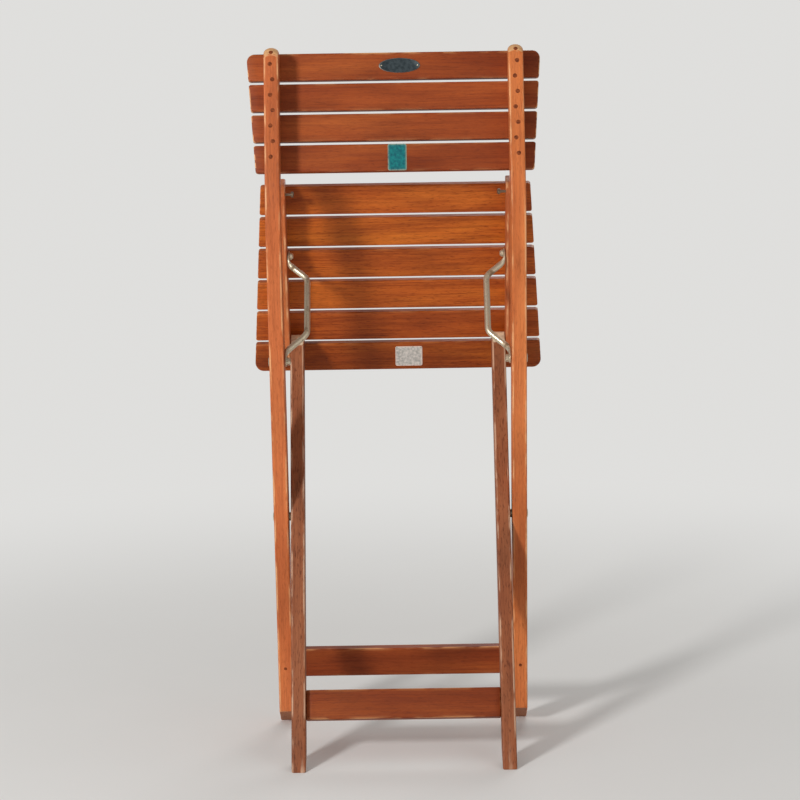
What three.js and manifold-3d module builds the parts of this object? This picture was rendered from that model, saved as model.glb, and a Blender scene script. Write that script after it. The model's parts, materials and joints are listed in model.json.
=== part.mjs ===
// A slatted folding chair without arms, partly folded and standing on its four feet.
// Millimetres, +Z up. +Y is the chair's front, and the origin lies on the floor.
import * as THREE from 'three';
import { mergeVertices } from 'three/addons/utils/BufferGeometryUtils.js';
import Module from 'manifold-3d';

const wasm = await Module();
wasm.setup();

// Angles
const degree = Math.PI / 180;
const restFoldAngle = 34.1 * degree;
const backBendAngle = 24 * degree;

// Clearances
const faceGap = 0.3;
const holeGap = 0.08;
const overrunLength = 4;
const arrisRadius = 1.5;
const arrisSteps = 2;

// Long rails, measured along the rail from the crossing bolt
const railThickness = 20.5;
const railDepth = 40;
const railInnerHalfWidth = 156;
const railFootLength = 317;
const railBendLength = 380;
const backBendRadius = 235.2;
const backStraightLength = 183;
const railTopRadius = 18;
const railCrownRadius = 8;

// Rear legs, measured along the leg from the crossing bolt
const legThickness = 19.5;
const legDepth = 36;
const legFootLength = 364.6;
const legHeadLength = 243;
const legShoulderLength = 3;
const legTopLength = 24;
const legTopInsetWidth = 14;
const legTopEaseLength = 5;
const frameGap = 3;

// Linkage that carries the seat
const railLinkBoltLength = 225.6;
const seatLinkLength = 147.6;
const linkLength = 165;

// Seat
const seatRailThickness = 20;
const seatRailUnderDepth = 10;
const seatRailOverDepth = 29.7;
const seatRailFrontReach = 16;
const seatRailRearReach = 253;
const seatSlatFrontReach = 45;
const seatSlatCount = 6;
const seatSlatWidth = 42.5;
const seatSlatGap = 6;
const seatFrontHalfWidth = 206.5;
const seatRearHalfWidth = 188.8;
const seatCornerRadius = 14;

// Back slats
const backSlatCount = 4;
const backSlatWidth = 38;
const backSlatGap = 4.7;
const backTopMargin = 2;
const backTopHalfWidth = 202;
const backLowHalfWidth = 190.5;
const backCornerRadius = 12;
const slatThickness = 12;
const slatEndRadius = 3;

// Stretchers
const stretcherHeight = 41;
const stretcherThickness = 15;
const stretcherFootLength = 96;
const stretcherForwardDepth = 7;

// Bolts, washers, plugs and the plate
const boltRadius = 3;
const boltHeadRadius = 7;
const boltHeadHeight = 1.5;
const boltBiteDepth = 14;
const washerRadius = 6;
const pinHeadRadius = 5;
const pinHeadHeight = 2;
const linkNutRadius = 5.5;
const linkNutHeight = 5;
const turnedSides = 20;
const outlineSteps = 8;
const headShoulderShares = [0.94, 0.45];
const headCrownShares = [0.66, 0.86];
const crownShares = [0.9, 0.1];
const stopBoltRadius = 1.8;
const stopBoltInsetLength = 12.4;
const stopBoltReach = 12.5;
const stopNutRadius = 4;
const stopNutLength = 4.5;
const plugCount = 7;
const plugRadius = 3.4;
const plugDepth = 5;
const plugTopMargin = 26.3;
const plugPitch = 21.4;
const plugSwayWidth = 1.6;
const tenonPinRadius = 2.4;
const tenonPinLength = 12;
const topScrewMargin = 9.5;
const topScrewRadius = 2.8;
const topScrewDepth = 8;
const topScrewRecessDepth = 4.4;
const plateHalfLength = 28.2;
const plateHalfHeight = 10.4;
const plateThickness = 1.2;
const plateSides = 48;
const plateAsideWidth = 8.2;

// Link bar
const linkBarRadius = 4.2;
const linkBarSides = 10;
const linkBarSteps = 44;
const linkTabThickness = 3;
const linkTabHalfWidth = 7;
const linkTabLength = 22;
const linkRunHalfWidth = 125;
const linkBarStartLength = 14;
const linkLowerRunLength = 42;
const linkUpperRunLength = 36;
const linkCornerRadius = 11;
const linkWallThickness = 0.5;

// Half widths that follow from the frames' stack
const railOuterHalfWidth = railInnerHalfWidth + railThickness;
const legOuterHalfWidth = railInnerHalfWidth - frameGap;
const legInnerHalfWidth = legOuterHalfWidth - legThickness;
const seatRailInnerHalfWidth = legOuterHalfWidth + faceGap;
const halfRailDepth = railDepth / 2;
const halfLegDepth = legDepth / 2;

const finishes = {
  rail: new THREE.MeshStandardMaterial({ color: 0xa84f2a, roughness: 0.42, metalness: 0 }),
  slat: new THREE.MeshStandardMaterial({ color: 0x9c4526, roughness: 0.45, metalness: 0 }),
  leg: new THREE.MeshStandardMaterial({ color: 0x8a4a33, roughness: 0.55, metalness: 0 }),
  steel: new THREE.MeshStandardMaterial({ color: 0xa79d86, roughness: 0.38, metalness: 1 }),
  plug: new THREE.MeshStandardMaterial({ color: 0x6b3520, roughness: 0.6, metalness: 0 }),
  plate: new THREE.MeshStandardMaterial({ color: 0x39434a, roughness: 0.4, metalness: 0.9 }),
};

// The lean at which the toe of the long rail and the heel of the rear leg are level.
function leanForFold(fold) {
  const rise = railFootLength - legFootLength * Math.cos(fold) + halfLegDepth * Math.sin(fold);
  const run = halfRailDepth + legFootLength * Math.sin(fold) + halfLegDepth * Math.cos(fold);
  return Math.atan2(rise, run);
}

// The angle at corner A of a triangle from its two near sides and the far one.
function cornerAngle(nearOne, nearTwo, far) {
  return Math.acos((nearOne ** 2 + nearTwo ** 2 - far ** 2) / (2 * nearOne * nearTwo));
}

// The chair is widest open where link and seat lie on one line.
const openFoldAngle = cornerAngle(railLinkBoltLength, legHeadLength, linkLength + seatLinkLength);
const restLean = leanForFold(restFoldAngle);
const openLean = leanForFold(openFoldAngle);

// At rest the link and the seat meet at the link's far end, and this is how each is turned
// from the long rail towards the front.
const seatBoltAhead = legHeadLength * Math.sin(restFoldAngle);
const seatBoltAbove = legHeadLength * Math.cos(restFoldAngle) - railLinkBoltLength;
const boltToBolt = Math.hypot(seatBoltAhead, seatBoltAbove);
const boltLineTurn = Math.atan2(seatBoltAhead, seatBoltAbove);
const linkTurn = boltLineTurn - cornerAngle(linkLength, boltToBolt, seatLinkLength);
const linkEndAhead = linkLength * Math.sin(linkTurn);
const linkEndAbove = linkLength * Math.cos(linkTurn);
const seatTurn = Math.atan2(linkEndAhead - seatBoltAhead, linkEndAbove - seatBoltAbove);

function solidOf(geometry) {
  const bare = geometry.index ? geometry.toNonIndexed() : geometry.clone();
  bare.deleteAttribute('normal');
  bare.deleteAttribute('uv');
  const merged = mergeVertices(bare);
  return new wasm.Manifold(new wasm.Mesh({
    numProp: 3,
    vertProperties: new Float32Array(merged.attributes.position.array),
    triVerts: new Uint32Array(merged.index.array),
  }));
}

function geometryOf(solid) {
  const mesh = solid.getMesh();
  const geometry = new THREE.BufferGeometry();
  geometry.setAttribute('position', new THREE.BufferAttribute(mesh.vertProperties, 3));
  geometry.setIndex(new THREE.BufferAttribute(mesh.triVerts, 1));
  return geometry;
}

function cut(geometry, ...tools) {
  const rest = tools.reduce((solid, tool) => solid.subtract(solidOf(tool)), solidOf(geometry));
  return geometryOf(rest);
}

function named(name, geometry, material) {
  const mesh = new THREE.Mesh(geometry, material);
  mesh.name = name;
  return mesh;
}

// A board cut from an outline and given eased arrises; it is centred on its thickness.
function board(outline, thickness) {
  const geometry = new THREE.ExtrudeGeometry(outline, {
    depth: thickness - 2 * arrisRadius,
    bevelThickness: arrisRadius,
    bevelSize: arrisRadius,
    bevelOffset: -arrisRadius,
    bevelSegments: arrisSteps,
    curveSegments: outlineSteps,
  });
  geometry.translate(0, 0, arrisRadius - thickness / 2);
  return geometry;
}

// Turns a board drawn with its outline's x and y into the part's y and z, thickness along X.
function stoodOnEdge(geometry) {
  geometry.rotateX(Math.PI / 2);
  geometry.rotateZ(Math.PI / 2);
  return geometry;
}

// Turns a board drawn with its outline's x and y into the part's x and z, thickness along Y.
function stoodFlat(geometry) {
  geometry.rotateX(Math.PI / 2);
  return geometry;
}

function crossCylinder(radius, length, x, y, z) {
  const cylinder = new THREE.CylinderGeometry(radius, radius, length, turnedSides);
  cylinder.rotateZ(Math.PI / 2);
  cylinder.translate(x, y, z);
  return cylinder;
}

function deepCylinder(radius, length, x, y, z) {
  const cylinder = new THREE.CylinderGeometry(radius, radius, length, turnedSides);
  cylinder.translate(x, y, z);
  return cylinder;
}

// A bolt along X with a domed head that lies outside, at the larger x.
function bolt(shankRadius, shankLength, headRadius, headHeight, x, y, z) {
  const profile = [
    new THREE.Vector2(0, -shankLength),
    new THREE.Vector2(shankRadius, -shankLength),
    new THREE.Vector2(shankRadius, 0),
    new THREE.Vector2(headRadius, 0),
    new THREE.Vector2(headRadius * headShoulderShares[0], headHeight * headShoulderShares[1]),
    new THREE.Vector2(headRadius * headCrownShares[0], headHeight * headCrownShares[1]),
    new THREE.Vector2(0, headHeight),
  ];
  const geometry = new THREE.LatheGeometry(profile, turnedSides);
  geometry.rotateZ(-Math.PI / 2);
  geometry.translate(x, y, z);
  return geometry;
}

function ring(outer, inner, thickness, x, y, z) {
  const profile = [
    new THREE.Vector2(inner, -thickness / 2),
    new THREE.Vector2(outer, -thickness / 2),
    new THREE.Vector2(outer, thickness / 2),
    new THREE.Vector2(inner, thickness / 2),
    new THREE.Vector2(inner, -thickness / 2),
  ];
  const geometry = new THREE.LatheGeometry(profile, turnedSides);
  geometry.rotateZ(-Math.PI / 2);
  geometry.translate(x, y, z);
  return geometry;
}

function mirrored(geometry, side) {
  if (side > 0) return geometry;
  const copy = geometry.index ? geometry.toNonIndexed() : geometry.clone();
  copy.deleteAttribute('normal');
  copy.deleteAttribute('uv');
  copy.applyMatrix4(new THREE.Matrix4().makeScale(-1, 1, 1));
  const position = copy.attributes.position;
  for (let corner = 0; corner < position.count; corner += 3) {
    const held = new THREE.Vector3().fromBufferAttribute(position, corner + 1);
    const other = new THREE.Vector3().fromBufferAttribute(position, corner + 2);
    position.setXYZ(corner + 1, other.x, other.y, other.z);
    position.setXYZ(corner + 2, held.x, held.y, held.z);
  }
  return copy;
}

const sides = [{ word: 'left', side: -1 }, { word: 'right', side: 1 }];

// Long rails

// Side view of the rail: x is towards the front, y is up along the rail.
function railOutline() {
  const heelRise = railDepth * Math.tan(openLean);
  const outline = new THREE.Shape();
  outline.moveTo(halfRailDepth, -railFootLength);
  outline.lineTo(halfRailDepth, railBendLength);
  const frontRadius = backBendRadius - halfRailDepth;
  const backRadius = backBendRadius + halfRailDepth;
  outline.absarc(backBendRadius, railBendLength, frontRadius, Math.PI, Math.PI - backBendAngle, true);
  const topFront = backPoint(backStraightLength, halfRailDepth);
  const topBack = backPoint(backStraightLength - railTopRadius, -halfRailDepth);
  const topCorner = backPoint(backStraightLength, -halfRailDepth);
  outline.lineTo(topFront.x, topFront.y);
  const topShoulder = backPoint(backStraightLength, railTopRadius - halfRailDepth);
  outline.lineTo(topShoulder.x, topShoulder.y);
  outline.quadraticCurveTo(topCorner.x, topCorner.y, topBack.x, topBack.y);
  const turnEnd = backPoint(0, -halfRailDepth);
  outline.lineTo(turnEnd.x, turnEnd.y);
  outline.absarc(backBendRadius, railBendLength, backRadius, Math.PI - backBendAngle, Math.PI, false);
  outline.lineTo(-halfRailDepth, heelRise - railFootLength);
  outline.closePath();
  return outline;
}

// A point of the bent-forward upper rail: how far up it, and how far to its front.
function backPoint(up, ahead) {
  const sine = Math.sin(backBendAngle);
  const cosine = Math.cos(backBendAngle);
  return new THREE.Vector2(
    backBendRadius - backBendRadius * cosine + up * sine + ahead * cosine,
    railBendLength + backBendRadius * sine + up * cosine - ahead * sine,
  );
}

// What is left of the rail's width once its top is crowned, drawn in the upper rail's plane.
function crownCutter() {
  const half = railThickness / 2;
  const top = backStraightLength + overrunLength;
  const spring = backStraightLength - railCrownRadius;
  const bow = half * crownShares[0];
  const bowUp = backStraightLength - railCrownRadius * crownShares[1];
  const outline = new THREE.Shape();
  outline.moveTo(-half - overrunLength, spring);
  outline.lineTo(-half, spring);
  outline.quadraticCurveTo(-bow, bowUp, 0, backStraightLength);
  outline.quadraticCurveTo(bow, bowUp, half, spring);
  outline.lineTo(half + overrunLength, spring);
  outline.lineTo(half + overrunLength, top);
  outline.lineTo(-half - overrunLength, top);
  outline.closePath();
  const geometry = new THREE.ExtrudeGeometry(outline, {
    depth: railDepth + 2 * overrunLength, bevelEnabled: false, curveSegments: outlineSteps,
  });
  geometry.translate(0, 0, -halfRailDepth - overrunLength);
  stoodFlat(geometry);
  return ontoBackPlane(geometry);
}

// Carries geometry made about the foot of the upper rail onto the bent-forward plane.
function ontoBackPlane(geometry) {
  geometry.rotateX(-backBendAngle);
  const foot = backPoint(0, 0);
  geometry.translate(0, foot.x, foot.y);
  return geometry;
}

function plugPlace(index) {
  return {
    up: backStraightLength - plugTopMargin - index * plugPitch,
    sway: index % 2 === 0 ? plugSwayWidth : -plugSwayWidth,
  };
}

function railPlugHole(place, railX) {
  const length = plugDepth + faceGap + overrunLength;
  const hole = deepCylinder(plugRadius + faceGap, length, railX + place.sway,
    length / 2 - overrunLength - halfRailDepth, place.up);
  return ontoBackPlane(hole);
}

function railPlug(place, railX) {
  const plug = deepCylinder(plugRadius, plugDepth, railX + place.sway,
    plugDepth / 2 - halfRailDepth, place.up);
  return ontoBackPlane(plug);
}

const topScrewUp = backStraightLength - topScrewMargin;

function topScrewHole(railX) {
  const length = topScrewDepth + topScrewRecessDepth + faceGap + overrunLength;
  const hole = deepCylinder(topScrewRadius + faceGap, length, railX,
    length / 2 - overrunLength - halfRailDepth, topScrewUp);
  return ontoBackPlane(hole);
}

function topScrew(railX) {
  const screw = deepCylinder(topScrewRadius, topScrewDepth, railX,
    topScrewRecessDepth + topScrewDepth / 2 - halfRailDepth, topScrewUp);
  return ontoBackPlane(screw);
}

const railCentre = railInnerHalfWidth + railThickness / 2;
const frontStretcherUp = stretcherFootLength - railFootLength;

function tenonPin(radius, length, railX) {
  return deepCylinder(radius, length, railX, length / 2 - halfRailDepth, frontStretcherUp);
}

function longRail() {
  const rail = stoodOnEdge(board(railOutline(), railThickness));
  rail.translate(railCentre, 0, 0);
  const crown = crownCutter();
  crown.translate(railCentre, 0, 0);
  const holeLength = railThickness + 2 * overrunLength;
  const holes = [0, railLinkBoltLength].map((up) => (
    crossCylinder(boltRadius + holeGap, holeLength, railCentre, 0, up)));
  for (let index = 0; index < plugCount; index += 1) {
    holes.push(railPlugHole(plugPlace(index), railCentre));
  }
  holes.push(topScrewHole(railCentre));
  const pinLength = tenonPinLength + faceGap + overrunLength;
  const pinHole = tenonPin(tenonPinRadius + faceGap, pinLength, railCentre);
  pinHole.translate(0, -overrunLength, 0);
  return cut(rail, crown, ...holes, pinHole);
}

function buildRails(group) {
  const rail = longRail();
  for (const { word, side } of sides) {
    group.add(named(`long_rail_${word}`, mirrored(rail, side), finishes.rail));
    for (let index = 0; index < plugCount; index += 1) {
      const plug = railPlug(plugPlace(index), railCentre);
      group.add(named(`rail_plug_${word}_${index + 1}`, mirrored(plug, side), finishes.plug));
    }
    group.add(named(`top_screw_${word}`, mirrored(topScrew(railCentre), side), finishes.steel));
    const pin = tenonPin(tenonPinRadius, tenonPinLength, railCentre);
    group.add(named(`tenon_pin_${word}`, mirrored(pin, side), finishes.plug));
  }
}

// Slats

// A slat from its lower to its upper edge, with half widths there and rounded corners at will.
function slatOutline(low, high, lowHalf, highHalf, lowRadius, highRadius) {
  const outline = new THREE.Shape();
  outline.moveTo(lowRadius - lowHalf, low);
  outline.lineTo(lowHalf - lowRadius, low);
  outline.quadraticCurveTo(lowHalf, low, lowHalf, low + lowRadius);
  outline.lineTo(highHalf, high - highRadius);
  outline.quadraticCurveTo(highHalf, high, highHalf - highRadius, high);
  outline.lineTo(highRadius - highHalf, high);
  outline.quadraticCurveTo(-highHalf, high, -highHalf, high - highRadius);
  outline.lineTo(-lowHalf, low + lowRadius);
  outline.quadraticCurveTo(-lowHalf, low, lowRadius - lowHalf, low);
  return outline;
}

function stretcherOutline(half) {
  const outline = new THREE.Shape();
  outline.moveTo(-half, -stretcherHeight / 2);
  outline.lineTo(half, -stretcherHeight / 2);
  outline.lineTo(half, stretcherHeight / 2);
  outline.lineTo(-half, stretcherHeight / 2);
  outline.closePath();
  return outline;
}

function buildBackSlats(group) {
  const pitch = backSlatWidth + backSlatGap;
  const stack = backSlatCount * pitch - backSlatGap;
  const top = backStraightLength - backTopMargin;
  const halfAt = (up) => backTopHalfWidth - (backTopHalfWidth - backLowHalfWidth) * (top - up) / stack;
  for (let index = 0; index < backSlatCount; index += 1) {
    const high = top - index * pitch;
    const low = high - backSlatWidth;
    const cornerRadius = index === 0 ? backCornerRadius : slatEndRadius;
    const outline = slatOutline(low, high, halfAt(low), halfAt(high), slatEndRadius, cornerRadius);
    const slat = stoodFlat(board(outline, slatThickness));
    slat.translate(0, halfRailDepth + faceGap + slatThickness / 2, 0);
    group.add(named(`back_slat_${index + 1}`, ontoBackPlane(slat), finishes.slat));
  }
}

function buildPlate(group) {
  const outline = new THREE.Shape();
  outline.absellipse(0, 0, plateHalfLength, plateHalfHeight, 0, 2 * Math.PI, false);
  const plate = new THREE.ExtrudeGeometry(outline, {
    depth: plateThickness, bevelEnabled: false, curveSegments: plateSides,
  });
  stoodFlat(plate);
  const middleUp = backStraightLength - backTopMargin - backSlatWidth / 2;
  plate.translate(plateAsideWidth, halfRailDepth, middleUp);
  group.add(named('maker_plate', ontoBackPlane(plate), finishes.plate));
}

function buildFrontStretcher(group) {
  const outline = stretcherOutline(railInnerHalfWidth - faceGap);
  const stretcher = stoodFlat(board(outline, stretcherThickness));
  stretcher.translate(0, stretcherForwardDepth, frontStretcherUp);
  group.add(named('front_stretcher', stretcher, finishes.slat));
}

// Rear legs

// Side view of the leg: x is towards the front, y is up along the leg.
function legOutline() {
  const openLegLean = openFoldAngle - openLean;
  const heelRise = legDepth * Math.tan(openLegLean);
  const top = legHeadLength + legTopLength;
  const outline = new THREE.Shape();
  outline.moveTo(-halfLegDepth, -legFootLength);
  outline.lineTo(halfLegDepth, heelRise - legFootLength);
  outline.lineTo(halfLegDepth, top - legTopEaseLength);
  outline.lineTo(halfLegDepth - legTopEaseLength, top);
  outline.lineTo(legTopInsetWidth - halfLegDepth, top);
  outline.lineTo(-halfLegDepth, legHeadLength + legShoulderLength);
  outline.closePath();
  return outline;
}

const legCentre = legOuterHalfWidth - legThickness / 2;

function rearLeg() {
  const leg = stoodOnEdge(board(legOutline(), legThickness));
  leg.translate(legCentre, 0, 0);
  const holeLength = boltBiteDepth + faceGap + overrunLength;
  const holeX = legOuterHalfWidth + overrunLength - holeLength / 2;
  const holes = [0, legHeadLength].map((up) => (
    crossCylinder(boltRadius + holeGap, holeLength, holeX, 0, up)));
  return cut(leg, ...holes);
}

function buildRearLegs(group) {
  const leg = rearLeg();
  for (const { word, side } of sides) {
    group.add(named(`rear_leg_${word}`, mirrored(leg, side), finishes.leg));
  }
  const outline = stretcherOutline(legInnerHalfWidth - faceGap);
  const stretcher = stoodFlat(board(outline, stretcherThickness));
  stretcher.translate(0, 0, stretcherFootLength - legFootLength);
  group.add(named('rear_stretcher', stretcher, finishes.slat));
}

// Seat, about the bolt that joins it to the rear leg, with its rear end upwards

function seatRailOutline() {
  const under = -seatRailUnderDepth;
  const outline = new THREE.Shape();
  outline.moveTo(under, seatRailUnderDepth - seatRailFrontReach);
  outline.quadraticCurveTo(under, -seatRailFrontReach, 0, -seatRailFrontReach);
  outline.lineTo(seatRailOverDepth, -seatRailFrontReach);
  outline.lineTo(seatRailOverDepth, seatRailRearReach);
  outline.lineTo(seatRailUnderDepth, seatRailRearReach);
  outline.quadraticCurveTo(under, seatRailRearReach, under, seatRailRearReach + 2 * under);
  outline.closePath();
  return outline;
}

const seatRailCentre = seatRailInnerHalfWidth + seatRailThickness / 2;
const seatRailOuterHalfWidth = seatRailInnerHalfWidth + seatRailThickness;

function seatRail() {
  const rail = stoodOnEdge(board(seatRailOutline(), seatRailThickness));
  rail.translate(seatRailCentre, 0, 0);
  const holeLength = seatRailThickness + 2 * overrunLength;
  const seatHole = crossCylinder(boltRadius + holeGap, holeLength, seatRailCentre, 0, 0);
  const stopHole = crossCylinder(stopBoltRadius + holeGap, holeLength, seatRailCentre, 0,
    seatRailRearReach - stopBoltInsetLength);
  return cut(rail, seatHole, stopHole);
}

// A stop bolt is screwed in from outside and ends in a nut inside the rail.
function stopBolt() {
  const inner = seatRailInnerHalfWidth - stopBoltReach;
  const nutOut = inner + stopNutLength;
  const up = seatRailRearReach - stopBoltInsetLength;
  const outside = seatRailOuterHalfWidth + faceGap;
  const shank = bolt(stopBoltRadius, outside - inner - faceGap, pinHeadRadius, pinHeadHeight,
    outside, 0, up);
  const nut = crossCylinder(stopNutRadius, stopNutLength, (inner + nutOut) / 2, 0, up);
  return geometryOf(solidOf(shank).add(solidOf(nut)));
}

function buildSeat(group) {
  const rail = seatRail();
  for (const { word, side } of sides) {
    group.add(named(`seat_rail_${word}`, mirrored(rail, side), finishes.rail));
    group.add(named(`stop_bolt_${word}`, mirrored(stopBolt(), side), finishes.steel));
  }
  const pitch = seatSlatWidth + seatSlatGap;
  const stack = seatSlatCount * pitch - seatSlatGap;
  const halfAt = (up) => seatFrontHalfWidth
    - (seatFrontHalfWidth - seatRearHalfWidth) * (up + seatSlatFrontReach) / stack;
  for (let index = 0; index < seatSlatCount; index += 1) {
    const low = index * pitch - seatSlatFrontReach;
    const high = low + seatSlatWidth;
    const cornerRadius = index === 0 ? seatCornerRadius : slatEndRadius;
    const outline = slatOutline(low, high, halfAt(low), halfAt(high), cornerRadius, slatEndRadius);
    const slat = stoodFlat(board(outline, slatThickness));
    slat.translate(0, seatRailOverDepth + faceGap + slatThickness / 2, 0);
    group.add(named(`seat_slat_${index + 1}`, slat, finishes.slat));
  }
}

// Link bars, about the bolt that joins them to the long rail, with the seat's end upwards

const linkLowTabCentre = railInnerHalfWidth - faceGap - linkTabThickness / 2;
const linkHighTabCentre = seatRailInnerHalfWidth - faceGap - linkTabThickness / 2;

// The bar's centre line: out of the lower tab, round the rear leg, and back to the upper tab.
function linkPath() {
  const lowX = railInnerHalfWidth - linkWallThickness - linkBarRadius;
  const highX = seatRailInnerHalfWidth - linkWallThickness - linkBarRadius;
  const knots = [
    new THREE.Vector3(lowX, 0, linkBarStartLength),
    new THREE.Vector3(lowX, 0, linkBarStartLength + linkBarRadius),
    new THREE.Vector3(linkRunHalfWidth, 0, linkLowerRunLength),
    new THREE.Vector3(linkRunHalfWidth, 0, linkLength - linkUpperRunLength),
    new THREE.Vector3(highX, 0, linkLength - linkBarStartLength - linkBarRadius),
    new THREE.Vector3(highX, 0, linkLength - linkBarStartLength),
  ];
  const path = new THREE.CurvePath();
  let last = knots[0];
  for (let index = 1; index < knots.length - 1; index += 1) {
    const corner = knots[index];
    const before = knots[index - 1];
    const after = knots[index + 1];
    const fromBefore = corner.distanceTo(before);
    const toAfter = corner.distanceTo(after);
    const reach = Math.min(linkCornerRadius, fromBefore / 2, toAfter / 2);
    const entry = corner.clone().lerp(before, reach / fromBefore);
    const exit = corner.clone().lerp(after, reach / toAfter);
    path.add(new THREE.LineCurve3(last, entry));
    path.add(new THREE.QuadraticBezierCurve3(entry, corner, exit));
    last = exit;
  }
  path.add(new THREE.LineCurve3(last, knots[knots.length - 1]));
  return path;
}

// A flattened end of the bar with round ends, across X, from its bolt towards the bar.
function linkTab(x, boltUp, direction) {
  const outline = new THREE.Shape();
  const near = boltUp;
  const far = boltUp + direction * (linkTabLength - 2 * linkTabHalfWidth);
  const low = Math.min(near, far);
  const high = Math.max(near, far);
  outline.absarc(0, high, linkTabHalfWidth, 0, Math.PI, false);
  outline.absarc(0, low, linkTabHalfWidth, Math.PI, 2 * Math.PI, false);
  outline.closePath();
  const tab = new THREE.ExtrudeGeometry(outline, {
    depth: linkTabThickness, bevelEnabled: false, curveSegments: turnedSides / 2,
  });
  tab.translate(0, 0, -linkTabThickness / 2);
  stoodOnEdge(tab);
  tab.translate(x, 0, 0);
  return tab;
}

function linkBar() {
  const section = new THREE.Shape();
  section.absarc(0, 0, linkBarRadius, 0, 2 * Math.PI, false);
  const bar = new THREE.ExtrudeGeometry(section, {
    steps: linkBarSteps, extrudePath: linkPath(), curveSegments: linkBarSides,
  });
  const lowTab = linkTab(linkLowTabCentre, 0, 1);
  const highTab = linkTab(linkHighTabCentre, linkLength, -1);
  const holeLength = linkTabThickness + 2 * overrunLength;
  const lowHole = crossCylinder(boltRadius + holeGap, holeLength, linkLowTabCentre, 0, 0);
  const highHole = crossCylinder(boltRadius + holeGap, holeLength, linkHighTabCentre, 0, linkLength);
  const whole = solidOf(bar).add(solidOf(lowTab)).add(solidOf(highTab));
  return geometryOf(whole.subtract(solidOf(lowHole)).subtract(solidOf(highHole)));
}

// The bolt at the seat's end stops short of the seat rail.
function linkEndBolt() {
  const inner = linkHighTabCentre - linkTabThickness / 2 - faceGap;
  const geometry = bolt(boltRadius, linkTabThickness + faceGap, linkNutRadius, linkNutHeight, 0, 0, 0);
  geometry.rotateZ(Math.PI);
  geometry.translate(inner, 0, linkLength);
  return geometry;
}

function buildLinks(group) {
  const bar = linkBar();
  for (const { word, side } of sides) {
    group.add(named(`link_${word}`, mirrored(bar, side), finishes.steel));
    group.add(named(`link_end_bolt_${word}`, mirrored(linkEndBolt(), side), finishes.steel));
  }
}

// Bolts and washers of the front frame

// The link bolt ends in a nut inside the tab, which its bar turns about.
function linkBolt() {
  const outside = railOuterHalfWidth + faceGap;
  const tabInner = linkLowTabCentre - linkTabThickness / 2;
  const length = outside - tabInner + faceGap + linkNutHeight;
  const shank = bolt(boltRadius, length, boltHeadRadius, boltHeadHeight, outside, 0, railLinkBoltLength);
  const nut = crossCylinder(linkNutRadius, linkNutHeight,
    tabInner - faceGap - linkNutHeight / 2, 0, railLinkBoltLength);
  return geometryOf(solidOf(shank).add(solidOf(nut)));
}

function buildFrameBolts(group) {
  const outside = railOuterHalfWidth + faceGap;
  const legBoltLength = outside - legOuterHalfWidth + boltBiteDepth;
  const washerThickness = frameGap - 2 * faceGap;
  for (const { word, side } of sides) {
    const legBolt = bolt(boltRadius, legBoltLength, boltHeadRadius, boltHeadHeight, outside, 0, 0);
    group.add(named(`leg_bolt_${word}`, mirrored(legBolt, side), finishes.steel));
    const washer = ring(washerRadius, boltRadius + holeGap, washerThickness,
      railInnerHalfWidth - frameGap / 2, 0, 0);
    group.add(named(`leg_washer_${word}`, mirrored(washer, side), finishes.steel));
    group.add(named(`link_bolt_${word}`, mirrored(linkBolt(), side), finishes.steel));
  }
}

function buildSeatBolts(group) {
  const outside = seatRailOuterHalfWidth + faceGap;
  const length = outside - legOuterHalfWidth + boltBiteDepth;
  for (const { word, side } of sides) {
    const seatBolt = bolt(boltRadius, length, pinHeadRadius, pinHeadHeight, outside, 0, legHeadLength);
    group.add(named(`seat_bolt_${word}`, mirrored(seatBolt, side), finishes.steel));
  }
}

// The chair as it stands

function turnedGroup(forwardTurn, ahead, above) {
  const group = new THREE.Group();
  group.rotation.x = -forwardTurn;
  group.position.set(0, ahead, above);
  return group;
}

const frontFrame = turnedGroup(-restLean, 0, 0);
buildRails(frontFrame);
buildBackSlats(frontFrame);
buildPlate(frontFrame);
buildFrontStretcher(frontFrame);
buildFrameBolts(frontFrame);

const rearLegs = turnedGroup(restFoldAngle, 0, 0);
buildRearLegs(rearLegs);
buildSeatBolts(rearLegs);
frontFrame.add(rearLegs);

const links = turnedGroup(linkTurn, 0, railLinkBoltLength);
buildLinks(links);
frontFrame.add(links);

const seat = turnedGroup(seatTurn, seatBoltAhead, railLinkBoltLength + seatBoltAbove);
buildSeat(seat);
frontFrame.add(seat);

const chair = new THREE.Group();
chair.name = 'folding_chair';
chair.add(frontFrame);
chair.updateMatrixWorld(true);

// The origin goes to the middle of the chair's box, on the floor.
const bounds = new THREE.Box3();
chair.traverse((item) => {
  if (item.isMesh) bounds.expandByObject(item, true);
});
const middle = bounds.getCenter(new THREE.Vector3());
frontFrame.position.set(-middle.x, -middle.y, -bounds.min.z);
chair.updateMatrixWorld(true);

export default chair;
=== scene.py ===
"""A slatted folding chair without arms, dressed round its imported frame.

Lengths are metres in the frame's own axes: +Z up, +Y towards the chair's front and +X to the
right as seen from behind. Each wooden board is a rounded section carried along its length, and
the side view of each sub-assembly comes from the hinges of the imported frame.
"""
import functools
import json
import logging
import math
from dataclasses import dataclass
from enum import Enum
from typing import Callable, Optional

import bmesh
import bpy
import numpy as np
from mathutils import Matrix, Vector


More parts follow.
